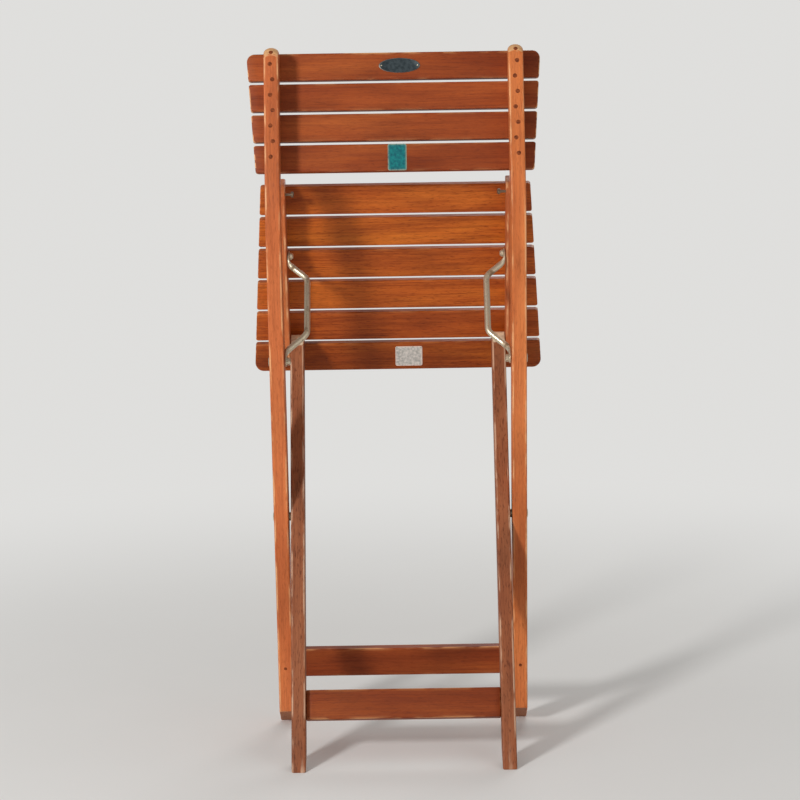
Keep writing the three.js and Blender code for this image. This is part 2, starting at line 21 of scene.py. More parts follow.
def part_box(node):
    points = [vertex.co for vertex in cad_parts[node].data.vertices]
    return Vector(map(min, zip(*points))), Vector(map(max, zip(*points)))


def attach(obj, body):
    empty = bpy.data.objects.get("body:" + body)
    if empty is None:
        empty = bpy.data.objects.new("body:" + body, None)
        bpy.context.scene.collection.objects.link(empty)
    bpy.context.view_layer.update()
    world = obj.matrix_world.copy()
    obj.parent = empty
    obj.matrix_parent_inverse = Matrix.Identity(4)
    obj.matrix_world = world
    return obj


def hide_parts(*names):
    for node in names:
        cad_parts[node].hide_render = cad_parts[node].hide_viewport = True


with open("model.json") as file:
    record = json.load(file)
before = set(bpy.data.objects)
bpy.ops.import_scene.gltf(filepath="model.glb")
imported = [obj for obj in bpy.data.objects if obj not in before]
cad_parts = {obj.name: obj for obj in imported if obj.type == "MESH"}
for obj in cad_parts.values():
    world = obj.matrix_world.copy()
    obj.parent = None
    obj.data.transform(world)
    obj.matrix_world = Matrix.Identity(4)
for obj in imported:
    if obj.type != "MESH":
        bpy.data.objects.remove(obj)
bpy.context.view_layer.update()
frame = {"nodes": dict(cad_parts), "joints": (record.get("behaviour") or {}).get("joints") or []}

LOG = logging.getLogger("folding_chair")
Array = np.ndarray
Pair = tuple[float, float]
Triple = tuple[float, float, float]
Steps = tuple[int, int, int]
Socket = bpy.types.NodeSocket
Material = bpy.types.Material
EndShape = Callable[[Array, Array], Array]
Mapping = Callable[[Array, Array, Array], Array]

MM = 0.001
QUARTER_TURN = math.pi / 2
WELD = 1e-6
THINNEST = 1e-7
CORNER_POINTS = 4
EDGE_FALL = 2.0
EDGE_POWER = 30
CAP_EDGE_SHARE = 0.6
GRAIN_SHIFT_SHARES = (1.0, 0.37, 0.11)
FOOT_WEAR_REACH = 14.0 * MM
SOLE_ARRIS = 0.6 * MM
SOLE_END_SHARE = 0.2
CROWN_FULLNESS = 0.96
CORNER_FULLNESS = 0.985
LIFT = 0.3 * MM
STRETCHER_HEIGHT = 41.0 * MM
STRETCHER_THICKNESS = 15.0 * MM
STRETCHER_STEPS = (36, 12, 4)
LABEL_CORNER = 2.4 * MM
LABEL_THICKNESS = 0.24 * MM
LABEL_ARRIS = 0.1 * MM
LABEL_RIM = 1.3 * MM
LABEL_STEPS = (24, 22, 2)
WOOD_SMOOTH = 40.0
ROUND_SMOOTH = 60.0
BOLT_SMOOTH = 35.0
LATHE_STEPS = 28

WHITE = (1.0, 1.0, 1.0)
BODY_STOPS = (0.3, 0.5, 0.72)
STREAK_STOPS = (0.32, 0.5, 0.68)
STREAK_TINTS = ((0.62, 0.52, 0.44), WHITE, (1.2, 1.24, 1.15))
PORE_STOPS = (0.33, 0.45)
PORE_TINTS = ((0.5, 0.4, 0.34), WHITE)
PORE_DEPTHS = (0.33, 0.46)
TONE_STOPS = (0.0, 0.5, 1.0)
TONE_TINTS = ((0.5, 0.42, 0.38), WHITE, (1.22, 1.45, 1.1))
STAIN_STOPS = (0.32, 0.52)
RUB_RANGE = (0.44, 0.62)
RING_STOPS = (0.3, 0.62)
RING_SHADE = 0.72
GLOSS_STOPS = (0.3, 0.7)
GLOSS_DRIFT = (0.14, -0.05)
END_ROUGHNESS = 0.3
WOOD_SPECULAR = 0.2
DRIFT_REACH = 0.014
HALF = 0.5
WOOD_BUMP = (0.35, 0.0003)
SPECK_STOPS = (0.36, 0.5)
SPECK_TINTS = ((0.55, 0.5, 0.45), WHITE)
TARNISH_RANGE = (0.62, 0.8)
TARNISH_SHIFT = 0.3
TARNISH_ROUGHNESS = 0.3
TARNISH_DULLING = 0.55
METAL_BUMP = (0.12, 0.0002)
COAT_STOPS = (0.36, 0.64)
COAT_GLOSS_DRIFT = 0.12
COAT_BUMP = (0.15, 0.0002)
RAGGED_RANGE = (0.3, 0.5)
MIX_SHARE, MIX_ONE, MIX_TWO, MIX_RESULT = 0, 6, 7, 2
CHANNELS = 4


class Side(Enum):
    """The two sides of the chair as seen from behind."""

    LEFT = -1
    RIGHT = 1

    @property
    def word(self) -> str:
        """Names the side as the nodes do.

        Returns:
            The side's word.
        """
        return self.name.lower()


@dataclass(frozen=True)
class Noise:
    """A noise by its scale along each axis and its detail."""

    scale: Triple
    detail: float


DRIFT = Noise((3.0, 11.0, 11.0), 3.0)
BROAD = Noise((4.5, 28.0, 28.0), 6.0)
FIGURE = Noise((11.0, 420.0, 420.0), 6.0)
STAINS = Noise((9.0, 30.0, 30.0), 4.0)
RUBBING = Noise((26.0, 120.0, 120.0), 3.0)
RINGS = Noise((40.0, 330.0, 140.0), 3.0)
TARNISH = Noise((90.0, 90.0, 60.0), 5.0)
SPECKS = Noise((900.0, 900.0, 900.0), 2.0)
FINE = Noise((1400.0, 1400.0, 1400.0), 2.0)
CLOUDS = Noise((2.0, 2.0, 2.0), 3.0)


def grey(value: float) -> Triple:
    """Makes an even colour.

    Args:
        value: its red, green and blue.

    Returns:
        The colour.
    """
    return value, value, value


class Tree:
    """A short hand for building the nodes of a material or a world."""

    def __init__(self, owner: Material | bpy.types.World) -> None:
        """Starts the nodes.

        Args:
            owner: what the nodes belong to.
        """
        owner.use_nodes = True
        self.owner = owner
        self.nodes = owner.node_tree.nodes
        self.links = owner.node_tree.links

    def link(self, source: object, target: Socket) -> None:
        """Joins a socket to a target, or writes a plain value to it.

        Args:
            source: a socket, a colour, a vector or a number.
            target: the input.
        """
        if isinstance(source, Socket):
            self.links.new(source, target)
        elif isinstance(source, tuple):
            is_colour = len(target.default_value) == CHANNELS
            target.default_value = (*source, 1.0) if is_colour else source
        else:
            target.default_value = source

    def node(self, kind: str, output: int | str, inputs: dict, **settings: str) -> Socket:
        """Adds a node.

        Args:
            kind: its kind.
            output: the output that is wanted.
            inputs: the source of each input, by its name or number.
            settings: its own settings.

        Returns:
            The output's socket.
        """
        node = self.nodes.new(f"ShaderNode{kind}")
        for key, value in settings.items():
            setattr(node, key, value)
        for key, source in inputs.items():
            self.link(source, node.inputs[key])
        return node.outputs[output]

    def attribute(self, name: str, output: str = "Fac") -> Socket:
        """Reads an attribute of the piece.

        Args:
            name: its name.
            output: how it is read.

        Returns:
            Its socket.
        """
        return self.node("Attribute", output, {}, attribute_name=name)

    def noise(self, place: Socket, noise: Noise, output: str = "Fac") -> Socket:
        """Lays noise over a place.

        Args:
            place: the place on the piece.
            noise: its scale and detail.
            output: Fac for a number or Color for three.

        Returns:
            The noise's socket.
        """
        scaled = self.node("Mapping", "Vector", {"Vector": place, "Scale": noise.scale})
        return self.node("TexNoise", output, {"Vector": scaled, "Scale": 1.0, "Detail": noise.detail})

    def ramp(self, factor: Socket, stops: tuple[float, ...], *colours: Triple) -> Socket:
        """Maps a number to colours at stops.

        Args:
            factor: the number.
            stops: the positions, in rising order.
            colours: the colour at each of them.

        Returns:
            The colour's socket.
        """
        colour = self.node("ValToRGB", "Color", {"Fac": factor})
        elements = colour.node.color_ramp.elements
        while len(elements) < len(stops):
            elements.new(HALF)
        for element, position, shade in zip(elements, stops, colours):
            element.position = position
            element.color = (*shade, 1.0)
        return colour

    def step(self, factor: Socket, low: float, high: float) -> Socket:
        """Rises smoothly from 0 to 1.

        Args:
            factor: the number that it follows.
            low: where it starts to rise.
            high: where it ends.

        Returns:
            The step's socket.
        """
        return self.node("MapRange", "Result", {"Value": factor, "From Min": low, "From Max": high},
                         interpolation_type="SMOOTHSTEP")

    def math(self, operation: str, one: object, two: object) -> Socket:
        """Works out one number from two.

        Args:
            operation: what is done.
            one: the first number.
            two: the second number.

        Returns:
            The result's socket.
        """
        return self.node("Math", "Value", {0: one, 1: two}, operation=operation)

    def mix(self, kind: str, factor: object, one: object, two: object) -> Socket:
        """Mixes two colours.

        Args:
            kind: the way of mixing.
            factor: the share of the second one.
            one: the first colour.
            two: the second colour.

        Returns:
            The mixed colour's socket.
        """
        return self.node("Mix", MIX_RESULT, {MIX_SHARE: factor, MIX_ONE: one, MIX_TWO: two},
                         data_type="RGBA", blend_type=kind)

    def plug(self, socket: str, source: object) -> None:
        """Joins a pattern to one of the shader's sockets, or sets a value for the whole surface.

        Args:
            socket: the shader's socket.
            source: the pattern or the value.
        """
        self.link(source, self.nodes["Principled BSDF"].inputs[socket])

    def bump(self, height: Socket, strength: float, distance: float) -> None:
        """Adds fine relief to the shader's normal.

        Args:
            height: the relief.
            strength: how strong it is.
            distance: how high it is.
        """
        sources = {"Height": height, "Strength": strength, "Distance": distance}
        self.plug("Normal", self.node("Bump", "Normal", sources))


@dataclass(frozen=True)
class WoodFinish:
    """An oiled teak finish whose grain follows the piece's own attributes.

    The attribute grain holds metres along, across and through the board, tone is one number for
    the whole board save a darkened sole, where it is 0, edge is 1 on an arris, and end is 1 on end grain.
    """

    name: str
    dark: Triple
    middle: Triple
    light: Triple
    worn: Triple
    end_grain: Triple
    roughness: float
    wear: float
    grime: float
    streak: float
    pore: float = 0.5
    pore_pitch: float = 1300.0
    pore_stretch: float = 110.0
    pore_detail: float = 2.0

    def build(self) -> Material:
        """Makes the node material.

        Returns:
            The finished material.
        """
        tree = Tree(bpy.data.materials.new(self.name))
        grain = tree.attribute("grain", "Vector")
        tone, edge, end = (tree.attribute(name) for name in ("tone", "edge", "end"))
        drift = tree.noise(grain, DRIFT, "Color")
        shift = tree.node("VectorMath", "Vector", {0: drift, "Scale": DRIFT_REACH}, operation="SCALE")
        bent = tree.node("VectorMath", "Vector", {0: grain, 1: shift}, operation="ADD")
        figure = tree.noise(bent, FIGURE)
        pore_noise = Noise((self.pore_stretch, self.pore_pitch, self.pore_pitch), self.pore_detail)
        pores = tree.noise(bent, pore_noise)
        colour = tree.ramp(tree.noise(bent, BROAD), BODY_STOPS, self.dark, self.middle, self.light)
        colour = tree.mix("MULTIPLY", self.streak, colour, tree.ramp(figure, STREAK_STOPS, *STREAK_TINTS))
        colour = tree.mix("MULTIPLY", self.pore, colour, tree.ramp(pores, PORE_STOPS, *PORE_TINTS))
        colour = tree.mix("MULTIPLY", 1.0, colour, tree.ramp(tone, TONE_STOPS, *TONE_TINTS))
        stain = tree.ramp(tree.noise(grain, STAINS), STAIN_STOPS, grey(1 - self.grime), WHITE)
        colour = tree.mix("MULTIPLY", 1.0, colour, stain)
        rub = tree.math("MULTIPLY", edge, tree.step(tree.noise(grain, RUBBING), *RUB_RANGE))
        colour = tree.mix("MIX", tree.math("MULTIPLY", rub, self.wear), colour, self.worn)
        shaded = tuple(RING_SHADE * part for part in self.end_grain)
        cut = tree.ramp(tree.noise(grain, RINGS), RING_STOPS, shaded, self.end_grain)
        tree.plug("Base Color", tree.mix("MIX", end, colour, cut))
        gloss = tree.ramp(figure, GLOSS_STOPS, *(grey(self.roughness + drift) for drift in GLOSS_DRIFT))
        tree.plug("Roughness", tree.math("ADD", gloss, tree.math("MULTIPLY", end, END_ROUGHNESS)))
        tree.plug("Specular IOR Level", WOOD_SPECULAR)
        hollow = tree.math("MULTIPLY", tree.step(pores, *PORE_DEPTHS), HALF)
        tree.bump(tree.math("ADD", tree.math("MULTIPLY", figure, HALF), hollow), *WOOD_BUMP)
        return tree.owner


@dataclass(frozen=True)
class MetalFinish:
    """Dull plated steel with brown tarnish in patches."""

    name: str
    bright: Triple
    tarnish: Triple
    roughness: float
    tarnished: float
    metallic: float = 1.0

    def build(self) -> Material:
        """Makes the node material.

        Returns:
            The finished material.
        """
        tree = Tree(bpy.data.materials.new(self.name))
        place = tree.node("TexCoord", "Object", {})
        specks = tree.noise(place, SPECKS)
        limits = (limit - self.tarnished * TARNISH_SHIFT for limit in TARNISH_RANGE)
        mask = tree.step(tree.noise(place, TARNISH), *limits)
        colour = tree.mix("MIX", mask, self.bright, self.tarnish)
        dots = tree.ramp(specks, SPECK_STOPS, *SPECK_TINTS)
        tree.plug("Base Color", tree.mix("MULTIPLY", HALF, colour, dots))
        rougher = tree.math("MULTIPLY", mask, TARNISH_ROUGHNESS)
        tree.plug("Roughness", tree.math("ADD", rougher, self.roughness))
        duller = tree.math("MULTIPLY", mask, TARNISH_DULLING)
        tree.plug("Metallic", tree.math("SUBTRACT", self.metallic, duller))
        tree.bump(specks, *METAL_BUMP)
        return tree.owner


@dataclass(frozen=True)
class CoatFinish:
    """A thin coat, filler or film whose colour drifts a little between two shades."""

    name: str
    shade: Triple
    other: Triple
    roughness: float
    metallic: float = 0.0
    scale: float = 160.0
    detail: float = 5.0
    specular: float = 0.5
    rim: Optional[Triple] = None

    def build(self) -> Material:
        """Makes the node material.

        Returns:
            The finished material.
        """
        tree = Tree(bpy.data.materials.new(self.name))
        place = tree.node("TexCoord", "Object", {})
        drift, fine = tree.noise(place, Noise(grey(self.scale), self.detail)), tree.noise(place, FINE)
        colour = tree.ramp(drift, COAT_STOPS, self.shade, self.other)
        if self.rim:
            ragged = tree.math("MULTIPLY", tree.attribute("edge"), tree.step(drift, *RAGGED_RANGE))
            colour = tree.mix("MIX", ragged, colour, self.rim)
        tree.plug("Base Color", colour)
        dull = grey(self.roughness + COAT_GLOSS_DRIFT)
        tree.plug("Roughness", tree.ramp(fine, GLOSS_STOPS, dull, grey(self.roughness)))
        tree.plug("Metallic", self.metallic)
        tree.plug("Specular IOR Level", self.specular)
        tree.bump(fine, *COAT_BUMP)
        return tree.owner


RAIL_TEAK = WoodFinish("rail_teak", dark=(0.5, 0.118, 0.034), middle=(0.6, 0.158, 0.049),
                       light=(0.7, 0.205, 0.064), worn=(0.86, 0.46, 0.22), end_grain=(0.78, 0.42, 0.19),
                       roughness=0.36, wear=0.85, grime=0.16, streak=0.4)
SLAT_TEAK = WoodFinish("slat_teak", dark=(0.26, 0.045, 0.01), middle=(0.345, 0.068, 0.0145),
                       light=(0.45, 0.104, 0.022), worn=(0.74, 0.36, 0.15), end_grain=(0.3, 0.11, 0.045),
                       roughness=0.38, wear=0.85, grime=0.2, streak=0.45)
SEAT_TEAK = WoodFinish("seat_teak", dark=(0.32, 0.058, 0.009), middle=(0.46, 0.096, 0.012),
                       light=(0.6, 0.155, 0.019), worn=(0.66, 0.28, 0.1), end_grain=(0.3, 0.11, 0.045),
                       roughness=0.36, wear=0.4, grime=0.22, streak=0.75, pore=0.7, pore_pitch=900.0)
LEG_TEAK = WoodFinish("leg_teak", dark=(0.27, 0.078, 0.03), middle=(0.34, 0.108, 0.043),
                      light=(0.42, 0.15, 0.064), worn=(0.66, 0.42, 0.28), end_grain=(0.9, 0.73, 0.5),
                      roughness=0.46, wear=0.8, grime=0.3, streak=0.45, pore=0.9, pore_pitch=720.0)
DULL_STEEL = MetalFinish("dull_steel", bright=(0.7, 0.61, 0.45), tarnish=(0.26, 0.17, 0.09),
                         roughness=0.38, tarnished=0.3, metallic=0.8)
DARK_STEEL = MetalFinish("dark_steel", bright=(0.3, 0.24, 0.17), tarnish=(0.1, 0.06, 0.035),
                         roughness=0.4, tarnished=0.6)
PLUG_WOOD = CoatFinish("plug_wood", shade=(0.12, 0.026, 0.009), other=(0.27, 0.065, 0.02),
                       roughness=0.7, scale=420.0, specular=0.15)
DARK_PLATE = CoatFinish("dark_plate", shade=(0.016, 0.027, 0.032), other=(0.045, 0.062, 0.07),
                        roughness=0.4, metallic=0.4, scale=240.0)
PLATE_RIM = CoatFinish("plate_rim", shade=(0.08, 0.095, 0.1), other=(0.2, 0.2, 0.18),
                       roughness=0.4, metallic=0.7)
TEAL_FILM = CoatFinish("teal_film", shade=(0.004, 0.1, 0.125), other=(0.008, 0.2, 0.2), roughness=0.5,
                       scale=260.0, specular=0.2, rim=(0.3, 0.34, 0.25))
SILVER_FILM = CoatFinish("silver_film", shade=(0.42, 0.41, 0.38), other=(0.72, 0.68, 0.63),
                         roughness=0.45, metallic=0.3, scale=300.0, rim=(0.86, 0.7, 0.6))


@functools.cache
def material_of(finish: WoodFinish | MetalFinish | CoatFinish) -> Material:
    """Builds a finish once.

    Args:
        finish: the finish.

    Returns:
        Its material.
    """
    return finish.build()


@dataclass(frozen=True)
class Cover:
    """A piece's finish, the body that it rides on and the record's material slot."""

    finish: WoodFinish | MetalFinish | CoatFinish
    body: str
    slot: str


def dressed(name: str, points: Array, faces: list, cover: Cover, nodes: tuple[str, ...] = (),
            smooth_limit: float = WOOD_SMOOTH,
            values: Optional[dict[str, Array]] = None) -> bpy.types.Object:
    """Makes a piece from points and faces and hides the solids that it stands for.

    Args:
        name: the piece's name.
        points: an array of rows x, y, z.
        faces: rows of point numbers.
        cover: its finish and body; its slot is not used.
        nodes: the solids that it stands for, or none.
        smooth_limit: the angle in degrees above which an edge stays sharp.
        values: attributes by name, as numbers or vectors for each point.

    Returns:
        The piece.
    """
    mesh = bpy.data.meshes.new(name)
    mesh.from_pydata(points.tolist(), [], faces)
    for key, data in (values or {}).items():
        kind, part = ("FLOAT_VECTOR", "vector") if data.ndim == 2 else ("FLOAT", "value")
        mesh.attributes.new(key, kind, "POINT").data.foreach_set(part, data.astype(np.float32).ravel())
    work = bmesh.new()
    work.from_mesh(mesh)
    bmesh.ops.remove_doubles(work, verts=work.verts, dist=WELD)
    bmesh.ops.dissolve_degenerate(work, edges=work.edges, dist=THINNEST)
    bmesh.ops.recalc_face_normals(work, faces=work.faces)
    work.to_mesh(mesh)
    work.free()
    mesh.shade_smooth()
    mesh.set_sharp_from_angle(angle=math.radians(smooth_limit))
    mesh.materials.append(material_of(cover.finish))
    piece = bpy.data.objects.new(name, mesh)
    bpy.context.scene.collection.objects.link(piece)
    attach(piece, cover.body)
    if nodes:
        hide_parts(*nodes)
    LOG.info("%s: %d faces on %s", name, len(mesh.polygons), cover.body)
    return piece


def ring_quads(rings: int, steps: int) -> list:
    """Joins closed rings of points.

    Args:
        rings: the number of rings.
        steps: the points in each.

    Returns:
        The quads between neighbouring rings.
    """
    j = np.arange(steps)
    i = np.arange(rings - 1)[:, None] * steps
    after = (j + 1) % steps
    return np.stack((i + j, i + after, i + steps + after, i + steps + j), -1).reshape(-1, 4).tolist()


def sheet_quads(rows: int, columns: int, start: int) -> list:
    """Joins the points of an open sheet.

    Args:
        rows: the rows of points.
        columns: the points in each.
        start: the first point's number.

    Returns:
        The sheet's quads.
    """
    base = start + np.arange(rows - 1)[:, None] * columns + np.arange(columns - 1)
    return np.stack((base, base + 1, base + columns + 1, base + columns), -1).reshape(-1, 4).tolist()


def merged(parts: list[tuple[Array, list]]) -> tuple[Array, list]:
    """Puts several surfaces into one.

    Args:
        parts: the points and faces of each.

    Returns:
        All the points and all the faces.
    """
    faces, count = [], 0
    for points, own in parts:
        faces += [[count + corner for corner in corners] for corners in own]
        count += len(points)
    return np.concatenate([points for points, _ in parts]), faces


@dataclass(frozen=True)
class Board:
    """A board with eased arrises, carried along its length.

    The section is a rounded rectangle: across runs from low to high, and through from minus to
    plus half the thickness. Ends are functions of across and through, so that a cut may slant or
    round over. Near each end the section draws in and the end rounds by the arris radius. The
    steps are along, across and through.
    """

    low: float
    high: float
    thickness: float
    start: EndShape
    stop: EndShape
    place: Mapping
    arris: float = 2.0 * MM
    end_arris: float = 1.5 * MM
    foot_wear: float = 0.0
    end_wear: float = 0.9
    side_wear_and_highlight: Pair = (1.0, 1.0)
    steps: Steps = (36, 14, 4)

    def section(self) -> tuple[Array, Array, Array]:
        """Works out the section as a grid: quarter circles at the corners and even steps between.

        Returns:
            Across, through and nearness to an arris, one row for each step across.
        """
        turn = np.linspace(0.0, QUARTER_TURN, CORNER_POINTS)
        corner = self.arris * (1 - np.cos(turn))
        rise = self.thickness / 2 - self.arris * (1 - np.sin(turn))
        hold = np.array([self.low + 2 * self.arris])
        inner = np.linspace(self.low + 3 * self.arris, self.high - 3 * self.arris, self.steps[1])
        across = np.concatenate((self.low + corner, hold, inner,
                                 self.high + self.low - hold, (self.high - corner)[::-1]))
        flat = np.full(len(across) - 2 * len(rise), self.thickness / 2)
        half = np.concatenate((rise, flat, rise[::-1]))
        share = np.cos(np.linspace(0.0, math.pi, self.steps[2] + 1))
        # Pale rub at each long arris, weighted by side: real wear, and where one side weighs more, a painted
        # highlight on that arris.
        near = (self.side_wear_and_highlight[0] * np.exp(-EDGE_FALL * (across - self.low) / self.arris)
                + self.side_wear_and_highlight[1] * np.exp(-EDGE_FALL * (self.high - across) / self.arris))
        grid = np.repeat(across[:, None], len(share), 1)
        return grid, half[:, None] * share, near[:, None] * np.abs(share) ** EDGE_POWER

    def build(self, tone: float, offset: float) -> tuple[Array, list, dict[str, Array]]:
        """Works out the points, faces and grain of the board.

        Args:
            tone: how pale the board is, from 0 to 1.
            offset: shifts the grain, in metres, so that no two boards look alike.

        Returns:
            Points, faces, and the attributes grain, tone, edge and end.
        """
        across, through, near = self.section()
        numbers = np.arange(across.size).reshape(across.shape)
        loop = np.concatenate((numbers[:, 0], numbers[-1, 1:], numbers[-2::-1, -1], numbers[0, -2:0:-1]))
        turn = np.linspace(0.0, QUARTER_TURN, CORNER_POINTS)[:-1]
        straight = np.zeros(self.steps[0])
        inset = np.concatenate((1 - np.sin(turn), straight, (1 - np.sin(turn))[::-1]))
        back = np.concatenate((-np.cos(turn), straight, np.cos(turn)[::-1]))
        share = np.concatenate((0 * turn, np.linspace(0.0, 1.0, len(straight)), 0 * turn + 1))
        middle, half_width = (self.low + self.high) / 2, (self.high - self.low) / 2

        def sheet(a: Array, b: Array, at: object) -> Array:
            """Length, across and through at stations, drawn in and pushed out near the ends."""
            a = middle + (a - middle) * (1 - inset[at] * self.end_arris / half_width)
            b = b * (1 - inset[at] * self.end_arris / (self.thickness / 2))
            first = self.start(a, b) + self.end_arris
            last = self.stop(a, b) - self.end_arris
            length = first + (last - first) * share[at] + back[at] * self.end_arris
            return np.stack(np.broadcast_arrays(length, a, b), -1)

        side = sheet(across.ravel()[loop], through.ravel()[loop], np.arange(len(share))[:, None])
        caps = [sheet(across, through, at) for at in (0, -1)]
        away = side[..., 0] - side[..., 0].min()
        eased = np.maximum(near.ravel()[loop], np.abs(back)[:, None] * self.end_wear)
        worn = np.maximum(eased, self.foot_wear * np.exp(-away / FOOT_WEAR_REACH)).ravel()
        cap_edge = near.ravel() * CAP_EDGE_SHARE
        cut = np.pad(np.ones((across.shape[0] - 2, across.shape[1] - 2)), 1).ravel()
        ends = np.concatenate((0 * worn, cut, cut))
        faces = ring_quads(len(share), len(loop))
        for count in (worn.size, worn.size + across.size):
            faces += sheet_quads(*across.shape, count)
        grain = np.concatenate([part.reshape(-1, 3) for part in (side, *caps)])
        tones = np.full(len(grain), tone)
        # The sole is darkened: its cap takes the lowest tone and only a share of the end grain's colour.
        if self.foot_wear:
            sole = slice(worn.size, worn.size + across.size)
            tones[sole] = 0.0
            ends[sole] *= SOLE_END_SHARE
        values = {"grain": grain + offset * np.array(GRAIN_SHIFT_SHARES), "tone": tones,
                  "edge": np.concatenate((worn, cap_edge, cap_edge)), "end": ends}
        return self.place(*grain.T), faces, values


def teak(board: Board, tone: float, offset: float, node: str, cover: Cover, end_share: float = 1.0) -> None:
    """Makes a board as the visible wood of its solid.

    Args:
        board: the board.
        tone: how pale it is, from 0 to 1.
        offset: shifts its grain.
        node: the solid that it stands for.
        cover: its finish, body and slot.
        end_share: how much of the end grain's colour shows.
    """
    points, faces, values = board.build(tone, offset)
    values["end"] *= end_share
    dressed(f"teak_{node}", points, faces, cover, (node,), values=values)


def node_middle(node: str) -> Array:
    """Finds the middle of a solid's box.

    Args:
        node: the solid.

    Returns:
        Its x, y and z.
    """
    low, high = (np.array(corner, float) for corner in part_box(node))
    return (low + high) / 2


def pair(node: str, shape: Callable[[float], Board], tones: Pair, offset: float,
         cover: Cover, end_share: float = 1.0) -> None:
    """Makes the left and the right board of a pair.

    Args:
        node: the solids' name without the side.
        shape: makes the board from its place across the chair.
        tones: how pale each is.
        offset: shifts their grain.
        cover: their finish, body and slot.
        end_share: how much of the end grain's colour shows.
    """
    middle = node_middle(f"{node}_right")[0]
    for side, tone in zip(Side, tones):
        board = shape(side.value * middle)
        teak(board, tone, offset + side.value, f"{node}_{side.word}", cover, end_share)


def lathe(profile: Array, steps: int = LATHE_STEPS) -> tuple[Array, list]:
    """Turns a profile of radius and height about an axis: x = r cos a, y = r sin a, z = h.

    Args:
        profile: rows of radius and height.
        steps: the number of facets round.

    Returns:
        Points with the axis along Z, and faces.
    """
    angle = np.linspace(0.0, 2 * math.pi, steps, endpoint=False)
    radius, height = profile[:, :1], profile[:, 1:]
    points = np.stack((radius * np.cos(angle), radius * np.sin(angle), height + 0 * angle), -1)
    return points.reshape(-1, 3), ring_quads(len(profile), steps)


@dataclass(frozen=True)
class SidePlane:
    """A side view's own axes: up along a member and ahead towards the chair's front."""

    origin: Array
    up: Array

    @staticmethod
    def between(foot: Array, tip: Array) -> "SidePlane":
        """Makes a plane whose up runs from one point to another.

        Args:
            foot: the y and z that it starts from.
            tip: the y and z that up runs to.

        Returns:
            The plane.
        """
        way = tip - foot
        return SidePlane(foot, way / np.linalg.norm(way))

    @property
    def ahead(self) -> Array:
        """Finds the way to the front, at right angles to up.

        Returns:
            Its y and z.
        """
        return np.array((self.up[1], -self.up[0]))

    def world(self, x: Array, ahead: Array, up: Array) -> Array:
        """Places side view points in the frame's axes.

        Args:
            x: to the right.
            ahead: towards the front.
            up: along the member.

        Returns:
            An array with a last axis of x, y, z.
        """
        y = self.origin[0] + ahead * self.ahead[0] + up * self.up[0]
        z = self.origin[1] + ahead * self.ahead[1] + up * self.up[1]
        return np.stack(np.broadcast_arrays(x, y, z), -1)

    def spot(self, node: str) -> Pair:
        """Finds the middle of a solid in the side view.

        Args:
            node: the solid.

        Returns:
            How far it lies ahead and up.
        """
        away = node_middle(node)[1:] - self.origin
        return float(away @ self.ahead), float(away @ self.up)


HINGES = {joint["name"]: np.array(joint["pos_m"], float)[1:] for joint in frame["joints"]}
LINK_TIP = node_middle("link_end_bolt_left")[1:]
LONG_PLANE = SidePlane.between(HINGES["leg_fold"], HINGES["link_turn"])
LEG_PLANE = SidePlane.between(HINGES["leg_fold"], HINGES["seat_turn"])
SEAT_PLANE = SidePlane.between(HINGES["seat_turn"], LINK_TIP)
LINK_PLANE = SidePlane.between(HINGES["link_turn"], LINK_TIP)


def cut_lean() -> Pair:
    """Works out the slants of the soles: the leans of the rails and of the legs once fully open.

    Returns:
        The rails' lean and the legs' lean, in radians.
    """
    rail = np.linalg.norm(HINGES["link_turn"] - HINGES["leg_fold"])
    leg = np.linalg.norm(HINGES["seat_turn"] - HINGES["leg_fold"])
    far = np.linalg.norm(LINK_TIP - HINGES["link_turn"]) + np.linalg.norm(LINK_TIP - HINGES["seat_turn"])
    fold = math.acos((rail ** 2 + leg ** 2 - far ** 2) / (2 * rail * leg))
    rails, legs = LongFrame(), RearLegs()
    rise = rails.to_toe - legs.to_heel * math.cos(fold) + legs.depth / 2 * math.sin(fold)
    run = rails.depth / 2 + legs.to_heel * math.sin(fold) + legs.depth / 2 * math.cos(fold)
    lean = math.atan2(rise, run)
    return lean, fold - lean


def quarter(depth: Array, radius: float, reach: float, fullness: float = CORNER_FULLNESS) -> Array:
    """Works out how far an end draws back inside a rounded corner: an elliptic quarter.

    Args:
        depth: the distance from the corner's side.
        radius: the corner's height.
        reach: how far the corner draws back at its side.
        fullness: how nearly the quarter reaches the side.

    Returns:
        The distance drawn back, 0 beyond the corner.
    """
    inside = np.clip(1 - depth / radius, 0.0, 1.0)
    return reach * (1 - np.sqrt(1 - fullness * inside ** 2))


def slanted(half: Callable[[Array], Array], low: float, high: float, low_radius: float,
            high_radius: float) -> tuple[EndShape, EndShape]:
    """Shapes both ends of a board that lies evenly about the middle, with rounded corners.

    Args:
        half: the half length by the place across.
        low: the lower edge.
        high: the upper edge.
        low_radius: the lower corners' radius.
        high_radius: the upper corners' radius.

    Returns:
        The left end and the right end.
    """
    def reach(a: Array, b: Array) -> Array:
        """The half length, less what the corners draw back."""
        upper = quarter(high - a, high_radius, high_radius)
        return half(a) - quarter(a - low, low_radius, low_radius) - upper
    return (lambda a, b: -reach(a, b)), reach


